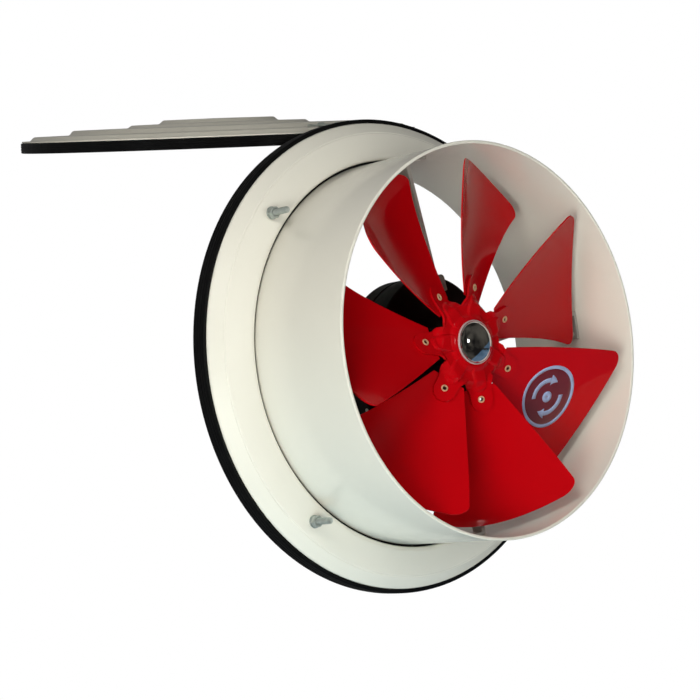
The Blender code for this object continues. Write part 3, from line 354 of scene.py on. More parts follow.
def rounded(corners, closed=True, arc=5):
    """Outline through (u, v, radius) corners with each corner's arc."""
    points = []
    count = len(corners)
    for i, corner in enumerate(corners):
        here = Vector(corner[:2])
        radius = corner[2] if len(corner) > 2 else 0
        if radius <= 0 or (not closed and i in (0, count - 1)):
            points.append(here)
            continue
        back = Vector(corners[i - 1][:2]) - here
        ahead = Vector(corners[(i + 1) % count][:2]) - here
        reach = min(back.length, ahead.length) * 0.49
        back.normalize()
        ahead.normalize()
        half = back.angle(ahead) / 2
        cut = min(radius / tan(half), reach)
        radius = cut * tan(half)
        centre = here + (back + ahead).normalized() * (radius / sin(half))
        start = here + back * cut - centre
        end = here + ahead * cut - centre
        first = atan2(start.y, start.x)
        sweep = (atan2(end.y, end.x) - first + pi) % TURN - pi
        for step in range(arc + 1):
            angle = first + sweep * step / arc
            points.append(centre + Vector((cos(angle), sin(angle))) * radius)
    return points


def thick_line(middle, thickness):
    """Closed outline of a sheet about its middle line."""
    sides = [], []
    for i, here in enumerate(middle):
        before = (here - middle[i - 1]).normalized() if i else None
        after = (middle[i + 1] - here).normalized() if i + 1 < len(middle) else None
        along = ((before or after) + (after or before)).normalized()
        normal = Vector((-along.y, along.x))
        scale = 1
        if before is not None and after is not None:
            scale = 1 / max(0.5, cos(before.angle(after) / 2))
        for side, sign in zip(sides, (1, -1)):
            side.append(here + normal * (sign * scale * thickness / 2))
    return sides[0] + sides[1][::-1]


def deep(corners):
    """Corners given by depth, in the turned frame that looks out of the mouth."""
    return [(c[0], SEAT_DEPTH - c[1], *c[2:]) for c in corners]


def strip(low, high, closed=False):
    """Faces between two rows of vertex numbers."""
    count = len(low)
    steps = range(count if closed else count - 1)
    return [(low[j], low[(j + 1) % count], high[(j + 1) % count], high[j]) for j in steps]


def lathe(name, profile, placing=FAN, steps=RING_STEPS, closed=True):
    """Turns (radius, height) points about Z. A radius may be a function of the angle."""
    verts, faces, rings = [], [], []
    for radius, height in profile:
        if not callable(radius) and radius < 1e-7:
            rings.append([len(verts)] * steps)
            verts.append((0, 0, height))
            continue
        rings.append(range(len(verts), len(verts) + steps))
        for k in range(steps):
            angle = TURN * k / steps
            r = radius(angle) if callable(radius) else radius
            verts.append((r * cos(angle), r * sin(angle), height))
    for low, high in zip(rings, rings[1:] + (rings[:1] if closed else [])):
        around = [tuple(dict.fromkeys(face)) for face in strip(low, high, True)]
        faces += [face for face in around if len(face) > 2]
    return add_mesh(name, verts, faces, placing)


def prism(name, outline, low, high, placing=FLAT_TO_WORLD):
    near, far = range(len(outline)), range(len(outline), 2 * len(outline))
    verts = [(p[0], p[1], level) for level in (low, high) for p in outline]
    return add_mesh(name, verts, [tuple(near), tuple(far)] + strip(near, far, True), placing)


def grid(name, rows, closed=False):
    width = len(rows[0])
    lines = [range(i * width, (i + 1) * width) for i in range(len(rows))]
    faces = [face for low, high in zip(lines, lines[1:]) for face in strip(low, high, closed)]
    return add_mesh(name, [point for row in rows for point in row], faces)


def thicken(obj, modifier_name, thickness):
    shell = obj.modifiers.new(modifier_name, "SOLIDIFY")
    shell.thickness = thickness
    shell.offset = 0
    return shell


def clock_point(radius, clock, depth=SEAT_DEPTH):
    return Vector((radius * sin(clock), depth - SEAT_DEPTH, radius * cos(clock)))


def axis_frame(origin, along):
    turn = Vector((0, 0, 1)).rotation_difference(along.normalized()).to_matrix().to_4x4()
    return Matrix.Translation(origin) @ turn


def smooth_step(value):
    value = min(1, max(0, value))
    return value * value * (3 - 2 * value)


# Tube, flange and rubber edge

def build_tube():
    profile = rounded(deep([
        (TUBE_INNER, 0, 0.0011), (RIM_RADIUS, 0, 0.0011),
        (RIM_RADIUS, RIM_BEAD * 1.05, 0.0007), (TUBE_OUTER, RIM_BEAD * 1.5, 0.001),
        (TUBE_OUTER, TUBE_DEPTH, 0.0005), (TUBE_INNER, TUBE_DEPTH, 0.0005),
    ]))
    dress(lathe("tube_shell", profile), "cream_paint", "duct_tube")


def build_flange():
    weld_radius = TUBE_OUTER + CLEARANCE + SHEET / 2
    crest = CREST_DEPTH + SHEET * 0.2
    foot = SEAT_DEPTH - SKIRT_CORNER * 0.35
    inner_slope = (CREASE_DEPTH - crest) / (CREASE_RADIUS - SLOPE_START)
    outer_slope = (foot - CREASE_DEPTH) / (SKIRT_RADIUS - CREASE_RADIUS)
    middle = rounded(deep([
        (weld_radius, COLLAR_END), (weld_radius, COLLAR_END - 0.0035, 0.002),
        (COLLAR_RADIUS, COLLAR_END - 0.0052, 0.002), (COLLAR_RADIUS, crest, 0.0022),
        (SLOPE_START, crest + FLANGE_BEND * 0.05, 0.005),
        (CREASE_RADIUS - CREASE_HALF, CREASE_DEPTH - CREASE_HALF * inner_slope, 0.0005),
        (CREASE_RADIUS, CREASE_DEPTH + CREASE_DENT, 0.0004),
        (CREASE_RADIUS + CREASE_HALF, CREASE_DEPTH + CREASE_HALF * outer_slope, 0.0005),
        (SKIRT_RADIUS, foot, 0.003), (SKIRT_RADIUS, SKIRT_END),
    ]), closed=False, arc=6)
    sheet = lathe("flange_sheet", thick_line(middle, SHEET))
    dress(sheet, "cream_paint", "wall_flange")


def groove(radius, level, half, depth):
    """Corners of a groove round a rubber edge. The sign of half follows the outline."""
    bend = 0.0003
    return [(radius, level - half, bend), (radius - depth, level, bend), (radius, level + half, bend)]


def build_flange_rubber():
    inner = SKIRT_RADIUS + SHEET / 2 + CLEARANCE * 0.3
    outer = inner + SEAL_WALL
    skirt_inner = SKIRT_RADIUS - SHEET / 2
    web_front = SKIRT_END + CLEARANCE
    web_rear = web_front + SEAL_WEB
    taper = 0.0004
    corners = [(inner, SEAT_DEPTH, 0.0004), (outer - taper, SEAT_DEPTH, 0.0012)]
    for ridge in (1, 2, 3):
        corners += groove(outer, SEAT_DEPTH + (web_rear - SEAT_DEPTH) * ridge / 4, 0.0007, 0.00055)
    corners += [
        (outer - taper, web_rear, 0.0012), (skirt_inner, web_rear, 0.0006),
        (skirt_inner, web_front, 0.0002), (inner, web_front, 0.0002),
    ]
    seal = lathe("flange_rubber", rounded(deep(corners), arc=4))
    dress(seal, "black_rubber", "flange_seal")


# Studs, nuts and washers

def flange_face(radius):
    """Depth and slope of the flange's sloping face."""
    slope = (CREASE_DEPTH - CREST_DEPTH - FLANGE_BEND * 0.15) / (CREASE_RADIUS - SLOPE_START)
    return CREASE_DEPTH - (CREASE_RADIUS - radius) * slope, slope


def threaded(radius, low, high, tip):
    """Rows of a threaded shank, from low to high, with a chamfered tip at high."""
    rows = []
    cut = THREAD_PITCH * 0.42
    count = int((high - low) / THREAD_PITCH * 6)
    for i in range(count + 1):
        height = low + (high - low) * i / count
        narrow = max(0, tip - (high - height)) * 0.8

        def shape(angle, height=height, narrow=narrow):
            wave = 0.5 - 0.5 * cos(TURN * (height / THREAD_PITCH - angle / TURN))
            return max(radius * 0.5, radius - narrow - cut * wave)

        rows.append((shape, height))
    return rows


def hexagon(radius, low, high):
    """Rows of a hexagonal bar with turned corners at both ends."""
    flat = radius * cos(TURN / 12)
    rows = []
    for share in (0, 0.06, 0.14, 0.24, 0.4, 0.6, 0.76, 0.86, 0.94, 1):
        lead = min(share, 1 - share) * (high - low)

        def shape(angle, lead=lead):
            side = flat / cos(angle % (TURN / 6) - TURN / 12)
            return min(side, flat * 0.955 + lead * 1.1)

        rows.append((shape, low + (high - low) * share))
    return rows


def build_studs():
    depth, slope = flange_face(STUD_CIRCLE - WASHER_RADIUS)
    skin = SHEET / 2 * sqrt(1 + slope ** 2)
    washer_back = depth - skin - CLEARANCE
    washer_front = washer_back - WASHER_THICKNESS
    hole = STUD_RADIUS + CLEARANCE
    ring = rounded(deep([
        (hole, washer_front), (WASHER_RADIUS, washer_front, 0.0003),
        (WASHER_RADIUS, washer_back, 0.0003), (hole, washer_back),
    ]), arc=3)
    low = SEAT_DEPTH - (washer_front - CLEARANCE * 0.3)
    high = low + NUT_THICKNESS
    bore = STUD_RADIUS + CLEARANCE * 0.5
    chamfer = bore * 0.14
    nut = hexagon(NUT_RADIUS, low, high)
    nut += [(bore + chamfer, high), (bore, high - chamfer), (bore, low + chamfer), (bore + chamfer, low)]
    head_radius = 0.0055
    head = SEAT_DEPTH - (flange_face(STUD_CIRCLE + head_radius)[0] + skin + CLEARANCE)
    tip = SEAT_DEPTH - (washer_back - STUD_LENGTH)
    shank = [(0, head - 0.004), (head_radius - 0.0005, head - 0.004), (head_radius, head - 0.0035)]
    shank += [(head_radius, head), (STUD_RADIUS, head)]
    shank += threaded(STUD_RADIUS, head + 0.0005, tip, 0.0009) + [(0, tip)]
    pieces = (
        ("stud_thread", shank, TINY_STEPS, "stud"),
        ("stud_ring", ring, SMALL_STEPS, "stud_washer"),
        ("stud_hexagon", nut, NUT_STEPS, "stud_nut"),
    )
    for number in range(1, STUD_COUNT + 1):
        clock = TURN * (number - 0.5) / STUD_COUNT
        placing = Matrix.Translation(clock_point(STUD_CIRCLE, clock)) @ FAN
        for name, rows, steps, node in pieces:
            piece = lathe(f"{name}_{number}", rows, placing, steps)
            dress(piece, "zinc_plate", f"{node}_{number}")


# Impeller

def blade_clock(index):
    return FIRST_BLADE_CLOCK + TURN * index / BLADE_COUNT


def blade_depth(across, out):
    """Depth of a blade's middle, at a place across the blade and out from the axis."""
    t = across / RIM_RADIUS
    y = (out - RIVET_CIRCLE) / RIM_RADIUS
    bend = (BLADE_PITCH + BLADE_TWIST * y) * t - BLADE_CAMBER * t * t + BLADE_RAKE * y
    return BLADE_DEPTH + RIM_RADIUS * bend


def edge_across(shares, out):
    y = out / RIM_RADIUS
    square, line, start = shares
    return RIM_RADIUS * (square * y * y + line * y + start)


def blade_point(clock, across, out, depth):
    x = out * sin(clock) + across * cos(clock)
    z = out * cos(clock) - across * sin(clock)
    return Vector((x, depth - SEAT_DEPTH, z))


def blade_rows(clock):
    """Points of a blade's middle, in rows from the root to the rounded tip."""
    columns = 26
    plain = 22
    arc = 9
    length = TIP_RADIUS - BLADE_ROOT
    backs = [length + (BLADE_CORNER - length) * i / plain for i in range(plain)]
    backs += [BLADE_CORNER * (1 - cos(TURN / 4 * (1 - i / arc))) for i in range(arc + 1)]
    rows = []
    for back in backs:
        share = 1 - back / length
        inset = 0
        if back < BLADE_CORNER:
            inset = BLADE_CORNER - sqrt(BLADE_CORNER ** 2 - (BLADE_CORNER - back) ** 2)
        out = BLADE_ROOT + share * length
        low = edge_across(LEADING_EDGE, out * EDGE_REACH) + inset
        high = edge_across(TRAILING_EDGE, out * EDGE_REACH) - inset
        row = []
        for column in range(columns):
            across = low + (high - low) * column / (columns - 1)
            tip = sqrt(TIP_RADIUS ** 2 - (across * TIP_ROUNDNESS) ** 2)
            reach = BLADE_ROOT + share * (tip - BLADE_ROOT)
            row.append(blade_point(clock, across, reach, blade_depth(across, reach)))
        rows.append(row)
    return rows


def rivet_frame(index):
    """Place of a blade's rivet, with its axis square to the blade."""
    clock = blade_clock(index)

    def point(across, out):
        return blade_point(clock, across, out, blade_depth(across, out))

    here = point(0, RIVET_CIRCLE)
    side = point(BLADE_SHEET, RIVET_CIRCLE) - here
    outward = point(0, RIVET_CIRCLE + BLADE_SHEET) - here
    normal = side.cross(outward)
    if normal.y < 0:
        normal.negate()
    return axis_frame(here, normal)


def apply_modifier(obj, name):
    with bpy.context.temp_override(object=obj, active_object=obj):
        bpy.ops.object.modifier_apply(modifier=name)


def finish_sheet(obj, thickness, edge, segments, rivets, *nodes):
    """Thickens a painted sheet, cuts its rivet holes for good and rounds its edges."""
    thicken(obj, "sheet", thickness).use_even_offset = True
    bevel(obj, edge, segments)
    apply_modifier(obj, "sheet")
    radius, reach = 0.0021, 0.012
    for index in rivets:
        punch = [(0, -reach), (radius, -reach), (radius, reach), (0, reach)]
        bar = lathe("punch", punch, rivet_frame(index), TINY_STEPS)
        cut = obj.modifiers.new("hole", "BOOLEAN")
        cut.operation = "DIFFERENCE"
        cut.solver = "EXACT"
        cut.object = bar
        obj.modifiers.move(len(obj.modifiers) - 1, 0)
        apply_modifier(obj, "hole")
        bpy.data.objects.remove(bar, do_unlink=True)
    dress(obj, "red_paint", *nodes, body="impeller")


def build_blades():
    for index in range(BLADE_COUNT):
        blade = grid(f"blade_sheet_{index + 1}", blade_rows(blade_clock(index)))
        finish_sheet(blade, BLADE_SHEET, 0.0003, 2, [index], f"blade_{index + 1}")


def panel_lift(across, out):
    """Height of the pressed panel on a spider arm: a rounded slot that opens to the collar."""
    half, end, bend, slope = 0.007, 0.0442, 0.004, 0.0019
    taper_start, taper = 0.03, 0.16
    narrow = half - max(0, out - taper_start) * taper
    gap = hypot(max(0, abs(across) - (narrow - bend)), max(0, out - (end - bend))) - bend
    return PANEL_RISE * 1.15 * smooth_step(0.5 - gap / slope)


def spider_depth(across, out):
    """Depth of the hub plate: raised at the collar, flat in the valley, pitched along the arms."""
    radius = hypot(across, out)
    collar = CAP_RADIUS + 0.0013
    share = smooth_step((radius - VALLEY_RADIUS) / 0.0064)
    pitched = blade_depth(across, out) - SPIDER_LEAD
    rise = COLLAR_RISE * (1 - smooth_step((radius - collar) / 0.0055))
    if radius > collar:
        rise = max(rise, panel_lift(across, out) + rise * 0.5)
    return SPIDER_DEPTH + (pitched - SPIDER_DEPTH) * share - rise


# Radii of the hub plate's rings, and the width of an arm along its length, as shares
SPIDER_RINGS = (
    SPIGOT_RADIUS + CLEARANCE, 0.0165, 0.02, 0.0214, 0.0222, 0.0231, 0.024, 0.025, 0.026,
    0.0271, 0.0283, 0.0295, 0.0307, 0.032, 0.0333, VALLEY_RADIUS,
)
ARM_KNOTS = (0, 0.1, 0.2, 0.3, 0.42, 0.58, 0.74, 0.87, 0.95, 1)
ARM_WIDTHS = (1, 0.84, 0.74, 0.69, 0.66, 0.66, 0.63, 0.5, 0.34, 0.12)


def build_spider():
    sector = TURN / BLADE_COUNT
    columns = 40
    steps = 42
    verts, faces, rings = [], [], []

    def place(index, across, out):
        verts.append(blade_point(blade_clock(index), across, out, spider_depth(across, out)))
        return len(verts) - 1

    for radius in SPIDER_RINGS:
        angles = [(column / columns * 2 - 1) * sector / 2 for column in range(columns)]
        spots = [(radius * sin(angle), radius * cos(angle)) for angle in angles]
        rings.append([place(index, *spot) for index in range(BLADE_COUNT) for spot in spots])
    for low, high in zip(rings, rings[1:]):
        faces += strip(low, high, True)
    half_valley = VALLEY_RADIUS * sin(sector / 2)
    for index in range(BLADE_COUNT):
        row = [rings[-1][(index * columns + j) % len(rings[-1])] for j in range(columns + 1)]
        for step in range(1, steps + 1):
            share = sin(TURN / 4 * step / steps) * 0.55 + step / steps * 0.45
            out = VALLEY_RADIUS + (ARM_TIP - VALLEY_RADIUS) * share
            half = half_valley * float(np.interp(share, ARM_KNOTS, ARM_WIDTHS))
            ahead = [place(index, half * (column / columns * 2 - 1), out) for column in range(columns + 1)]
            faces += strip(row, ahead)
            row = ahead
    spider = add_mesh("spider_sheet", verts, faces)
    finish_sheet(spider, SPIDER_SHEET, 0.0006, 3, range(BLADE_COUNT), "hub_spider")


def build_eyelets():
    lead = SPIDER_LEAD * cos(atan(BLADE_PITCH))
    front = -(lead + SPIDER_SHEET / 2 + CLEARANCE * 0.4)
    rear = BLADE_SHEET / 2 + CLEARANCE * 0.4
    hole, head, barrel, film = 0.0017, 0.0033, 0.002, 0.0001
    profile = rounded([
        (hole, front + 0.0006, 0.0005), (hole + 0.0003, front - 0.0012, 0.0007),
        (head - 0.0002, front - 0.001, 0.0008), (head, front, 0.0003), (barrel, front, 0.0001),
        (barrel, rear, 0.0001), (head, rear, 0.0003), (head - 0.0003, rear + 0.0008, 0.0005),
        (hole, rear + 0.0008, 0.0004),
    ], arc=4)
    # A thin dark skin lines each bore; it is painted shade in the hole
    skin = [(hole - film, front + film), (hole + film, front + film)]
    skin += [(hole + film, rear + 0.0005), (hole - film, rear + 0.0005)]
    for index in range(BLADE_COUNT):
        number, placing = index + 1, rivet_frame(index)
        ring = lathe(f"eyelet_ring_{number}", profile, placing, steps=28)
        dress(ring, "brass_eyelet", f"eyelet_{number}", body="impeller")
        dress(lathe(f"eyelet_bore_shade_{number}", skin, placing, steps=28), "eyelet_bore_shade", body="impeller")


def label_patch(name, divisions, angles, layer, look, *nodes):
    """A thin patch on the fourth blade between two outlines given by angle."""
    film = 0.00012
    lift = BLADE_SHEET / 2 + CLEARANCE * 0.6 + film * layer
    rows = []
    for share in [k / divisions for k in range(divisions + 1)]:
        row = []
        for angle, inner, outer in angles:
            radius = inner + (outer - inner) * share
            across, out = LABEL_SHIFT + radius * cos(angle), LABEL_REACH + radius * sin(angle)
            row.append(blade_point(blade_clock(3), across, out, blade_depth(across, out) - lift))
        rows.append(row)
    patch = grid(name, rows, abs(angles[-1][0] - angles[0][0]) > TURN - 0.5)
    thicken(patch, "film", film)
    dress(patch, look, *nodes, body="impeller")


def build_label():
    """A plain round sticker: a pale blue ring and hub, a dark field and two turning arrows."""
    circle = [TURN * k / HUB_STEPS for k in range(HUB_STEPS)]
    hole = 0.0004
    ground = [(a, hole, LABEL_RADIUS - 0.0002) for a in circle]
    label_patch("label_ground", 5, ground, 0, "label_field", "blade_label")
    edge = [(a, LABEL_RADIUS - 0.003, LABEL_RADIUS) for a in circle]
    label_patch("label_edge", 2, edge, 1, "label_silver")
    label_patch("label_hub", 2, [(a, hole, 0.005) for a in circle], 1, "label_silver")
    sweep, tip_sweep = radians(96), radians(30)
    middle, width, barb = 0.015, 0.0021, 0.0046
    for number in (1, 2):
        start = radians(180 * number - 155)
        body = [(start + sweep * k / 20, middle - width, middle + width) for k in range(21)]
        label_patch(f"label_arrow_{number}", 2, body, 1, "label_silver")
        tip = []
        for k in range(9):
            half = barb * (1 - k / 8.001)
            tip.append((start - tip_sweep * k / 8, middle - half, middle + half))
        label_patch(f"label_arrowhead_{number}", 2, tip, 1, "label_silver")


def build_cap():
    rim_back = SPIDER_DEPTH - COLLAR_RISE - SPIDER_SHEET / 2 - CLEARANCE * 0.5
    rim_front = rim_back - 0.0014
    dome, rise, wall = CAP_RADIUS - 0.0008, 0.0075, 0.0009

    def vault(inset):
        """Points of the dome from its crown towards its rim."""
        angles = [TURN / 4 * i / 20 for i in range(20)]
        return [((dome - inset) * sin(a), rim_front - (rise - inset) * cos(a)) for a in angles]

    rim = rounded([
        (dome, rim_front - 0.0004), (dome + 0.0001, rim_front + 0.0002, 0.0003),
        (CAP_RADIUS, rim_front + 0.0003, 0.0006), (CAP_RADIUS, rim_back, 0.0003), (dome - wall, rim_back),
    ], closed=False, arc=4)
    profile = deep(vault(0) + rim + vault(wall)[::-1])
    dress(lathe("cap_dome", profile, FAN, HUB_STEPS), "chrome_plate", "hub_cap", body="impeller")
    # The rim bead wears the pink, lighter satin finish: a painted reflection of the red blades
    bead = rounded(deep([
        (dome, rim_front + 0.0002), (dome, rim_front - 0.0006, 0.0004),
        (CAP_RADIUS, rim_front - 0.0006, 0.0007), (CAP_RADIUS, rim_back), (CAP_RADIUS - 0.0004, rim_back),
    ]), arc=6)
    dress(lathe("cap_bead", bead, FAN, HUB_STEPS), "cap_rim_painted_sheen", body="impeller")


# Motor

def build_motor():
    shoulder = 0.006
    split = MOTOR_FRONT + MOTOR_LENGTH / 2
    rear = MOTOR_FRONT + MOTOR_LENGTH
    nose_radius, nose_front = 0.017, MOTOR_FRONT - 0.0185
    bore = SHAFT_RADIUS + CLEARANCE
    inner = MOTOR_RADIUS - 0.0035
    front_wall = MOTOR_FRONT + 0.0035
    seam = MOTOR_RADIUS - 0.0007
    dish = rear - 0.0022
    front = rounded(deep([
        (bore, nose_front + 0.0012, 0.0003), (bore + 0.002, nose_front, 0.0004),
        (nose_radius, nose_front, 0.0016), (nose_radius + 0.0006, MOTOR_FRONT - 0.003, 0.003),
        (nose_radius + 0.01, MOTOR_FRONT + 0.0002, 0.002), (MOTOR_RADIUS, MOTOR_FRONT, 0.002),
        (MOTOR_RADIUS, split - 0.0022, 0.0003), (seam, split - 0.0018, 0.0002), (seam, split),
        (inner, split), (inner, front_wall), (bore, front_wall),
    ]), arc=6)
    dress(lathe("motor_front_shell", front, FAN, BODY_STEPS), "black_paint", "motor_front")
    back = rounded(deep([
        (0, rear - 0.0015), (0.0105, rear - 0.0015, 0.0004), (0.0115, rear, 0.0006), (0.016, rear, 0.0012),
        (0.018, dish, 0.0012), (MOTOR_RADIUS - 0.014, dish, 0.002), (MOTOR_RADIUS - 0.011, rear, 0.0012),
        (MOTOR_RADIUS - shoulder * 0.7, rear, 0.005), (MOTOR_RADIUS, rear - shoulder, 0.005),
        (MOTOR_RADIUS, split + 0.0022, 0.0003), (seam, split + 0.0018, 0.0002), (seam, split),
        (inner, split), (inner, rear - 0.006), (0, rear - 0.006),
    ]), closed=False, arc=6)
    shell = lathe("motor_rear_shell", back, FAN, BODY_STEPS)
    dress(shell, "black_paint", "motor_rear")
    rib_count, rib_start, rib_end, rib_half = 12, 0.0165, MOTOR_RADIUS - 0.0125, 0.0011
    for index in range(rib_count):
        clock = TURN * (index + 0.5) / rib_count
        out = Vector((sin(clock), cos(clock)))
        side = Vector((-out.y, out.x)) * rib_half
        start, end = out * rib_start, out * rib_end
        outline = [start - side, end - side * 0.8, end + side * 0.8, start + side]
        rib = prism(f"motor_rib_{index + 1}", outline, rear - 0.0032, rear - 0.0003)
        dress(bevel(rib, 0.0004), "black_paint")
    head = [(0, 0)] + hexagon(0.0036, 0, 0.0022)
    head += [(0.0012, 0.0022), (0.001, 0.0016), (0, 0.0016)]
    for index in range(4):
        origin = clock_point(MOTOR_RADIUS - 0.0076, TURN * (index + 0.25) / 4, rear - 0.0003)
        placing = axis_frame(origin, Vector((0, 1, 0)))
        dress(lathe(f"motor_bolt_{index + 1}", head, placing, steps=36), "zinc_plate")


def arm_line(index):
    """An arm's inner end, its direction from the wall inwards and its direction across."""
    base = TURN * index / ARM_COUNT
    wall = base + ARM_WALL_CLOCK
    outer = Vector((sin(wall), cos(wall))) * (TUBE_INNER - ARM_SHEET)
    radial = Vector((sin(base), cos(base)))
    side = Vector((cos(base), -sin(base)))
    inner = radial * ARM_INNER + side * ARM_OFFSET
    along = (inner - outer).normalized()
    return inner, along, Vector((-along.y, along.x))


def build_ears():
    near = ARM_SHEET / 2 + CLEARANCE
    far = near + EAR_WIDTH
    for index in range(ARM_COUNT):
        inner, along, across = arm_line(index)
        tip = inner - along * (MOTOR_RADIUS - ARM_INNER - EAR_INSET)
        outline = rounded([
            (*(inner + across * near), 0), (*(tip + across * near), 0.001),
            (*(tip + across * far), 0.005), (*(inner + across * far), 0),
        ], arc=6)
        ear = prism(f"motor_ear_{index + 1}", outline, ARM_FRONT, MOTOR_FRONT + 0.003)
        dress(bevel(ear, 0.0008, 3), "dull_zinc")


def foot_line(radius, start, sweep):
    """Points along an arm's foot, which follows the tube's wall."""
    steps = 12
    clocks = [start + sweep * step / steps for step in range(steps + 1)]
    return [(sin(clock) * radius, cos(clock) * radius, 0) for clock in clocks]


def build_arms():
    foot_outer = TUBE_INNER - CLEARANCE
    foot_inner = foot_outer - ARM_SHEET
    turn = FOOT_LENGTH / foot_outer
    half = ARM_SHEET / 2
    share = half / foot_outer
    middle = ARM_FRONT + ARM_DEPTH / 2
    screw = rounded([
        (0, -0.0015), (0.0018, -0.0015, 0.0003), (0.0022, -0.0028, 0.0003), (0.004, -0.0024, 0.0012),
        (0.004, -0.0003, 0.0003), (SCREW_RADIUS, -0.0003), (SCREW_RADIUS, 0.015, 0.0004), (0, 0.015),
    ], closed=False, arc=4)
    bead = rounded([
        (0, 0.0008), (0.0022, 0.0007, 0.0008), (0.0034, 0, 0.0003), (0.0034, -0.0006),
    ], closed=False, arc=4) + [(0, -0.0006)]
    for index in range(ARM_COUNT):
        number = index + 1
        base = TURN * index / ARM_COUNT + ARM_WALL_CLOCK
        inner, along, across = arm_line(index)
        outer_line = foot_line(foot_outer, base - share, turn + share)
        inner_line = foot_line(foot_inner, base + turn, 2 * share - turn)
        outer_line[0] = (*outer_line[0][:2], 0.0028)
        inner_line[-1] = (*inner_line[-1][:2], 0.0015)
        end = [(*(inner + across * half), 0.0012), (*(inner - across * half), 0.0012)]
        outline = rounded(end + outer_line + inner_line, arc=4)
        arm = prism(f"arm_bar_{number}", outline, ARM_FRONT, ARM_FRONT + ARM_DEPTH)
        # The arms wear the darkened cream, which is painted shade
        dress(bevel(arm, 0.0006, 3), "arm_painted_shade", f"motor_arm_{number}")
        start = inner - along * 0.0085 - across * half
        start = Vector((start.x, middle - SEAT_DEPTH, start.y))
        placing = axis_frame(start, Vector((across.x, 0, across.y)))
        bolt = lathe(f"arm_bolt_{number}", screw, placing, SMALL_STEPS)
        dress(bolt, "zinc_plate", f"arm_screw_{number}")
        for side in range(2):
            clock = base + turn * (0.35 + 0.45 * side)
            spot = clock_point(foot_inner + 0.0003, clock, middle)
            placing = axis_frame(spot, clock_point(-1, clock))
            weld = lathe(f"foot_weld_{number}_{side + 1}", bead, placing, TINY_STEPS)
            dress(weld, "weld_metal")


def build_motor_box():
    """Moulded capacitor housing with a screwed lid, on the motor's lower left side."""
    clock = radians(-119.5)
    radial = Vector((sin(clock), cos(clock)))
    side = Vector((cos(clock), -sin(clock)))
    front, rear = MOTOR_FRONT + 0.024, MOTOR_FRONT + 0.049
    blocks = {"motor_box": (0.06, 0.0806, 0.0115, 0), "motor_box_lid": (0.0806, 0.0832, 0.012, 0.0005)}
    for name, (low, high, half, proud) in blocks.items():
        outline = rounded([
            (*(radial * low - side * half), 0), (*(radial * high - side * half), 0.002),
            (*(radial * high + side * half), 0.002), (*(radial * low + side * half), 0),
        ], arc=5)
        block = prism(name, outline, front - proud, rear + proud)
        dress(bevel(block, 0.0009, 3), "black_paint")
    head = [(0, 0), (0.0022, 0), (0.0022, 0.0007), (0.0016, 0.0013)]
    head += [(0.0004, 0.0014), (0.0004, 0.0009), (0, 0.0009)]
    for index, (across, depth) in enumerate(((-0.008, front + 0.004), (0.008, rear - 0.004))):
        spot = radial * 0.0831 + side * across
        origin = Vector((spot.x, depth - SEAT_DEPTH, spot.y))
        placing = axis_frame(origin, Vector((radial.x, 0, radial.y)))
        screw = lathe(f"motor_box_screw_{index + 1}", head, placing, TINY_STEPS)
        dress(screw, "zinc_plate")


def build_groove_shade():
    """Dark ring in the groove between the tube and the flange's collar: painted shade that stands for the
    deep shadow in the gap.
    """
    gap = 0.00005
    inner, outer = TUBE_OUTER + gap, COLLAR_RADIUS - SHEET / 2 - gap
    front, rear = 0.1204, 0.1275
    profile = rounded(deep([
        (inner, front, 0.0006), (outer, front, 0.0006), (outer, rear, 0.0004), (inner, rear, 0.0004),
    ]), arc=4)
    dress(lathe("groove_shade_ring", profile), "black_rubber")


def build_gland():
    """Cable gland: a sleeve, a hexagon and a ribbed end with a bore."""
    clock = radians(225)
    start = clock_point(MOTOR_RADIUS + CLEARANCE, clock, MOTOR_FRONT + MOTOR_LENGTH * 0.7)
    profile = [(0, -0.0002), (0.0056, -0.0002), (0.0056, 0.0035)] + hexagon(0.007, 0.0035, 0.0085)
    for k in range(4):
        radius, height = 0.0052 - 0.0002 * k, 0.0088 + 0.0012 * k
        profile += [(radius, height), (radius, height + 0.0008)]
        profile += [(radius - 0.0008, height + 0.0009), (radius - 0.0008, height + 0.0012)]
    profile += [(0.0036, 0.0138), (0.003, 0.0138), (0.003, 0.0045), (0, 0.0045)]
    body = lathe("gland_body", profile, axis_frame(start, clock_point(1, clock)), steps=48)
    dress(body, "black_paint", "cable_gland")


# Shutter lid and hinge

def sheet_levels():
    """Heights of the lid's rim and of its four tiers, over the rubber's front face."""
    rim = LID_RUBBER + CLEARANCE + LID_SHEET / 2
    return [rim] + [LID_RUBBER + rise for rise in STEP_RISES]


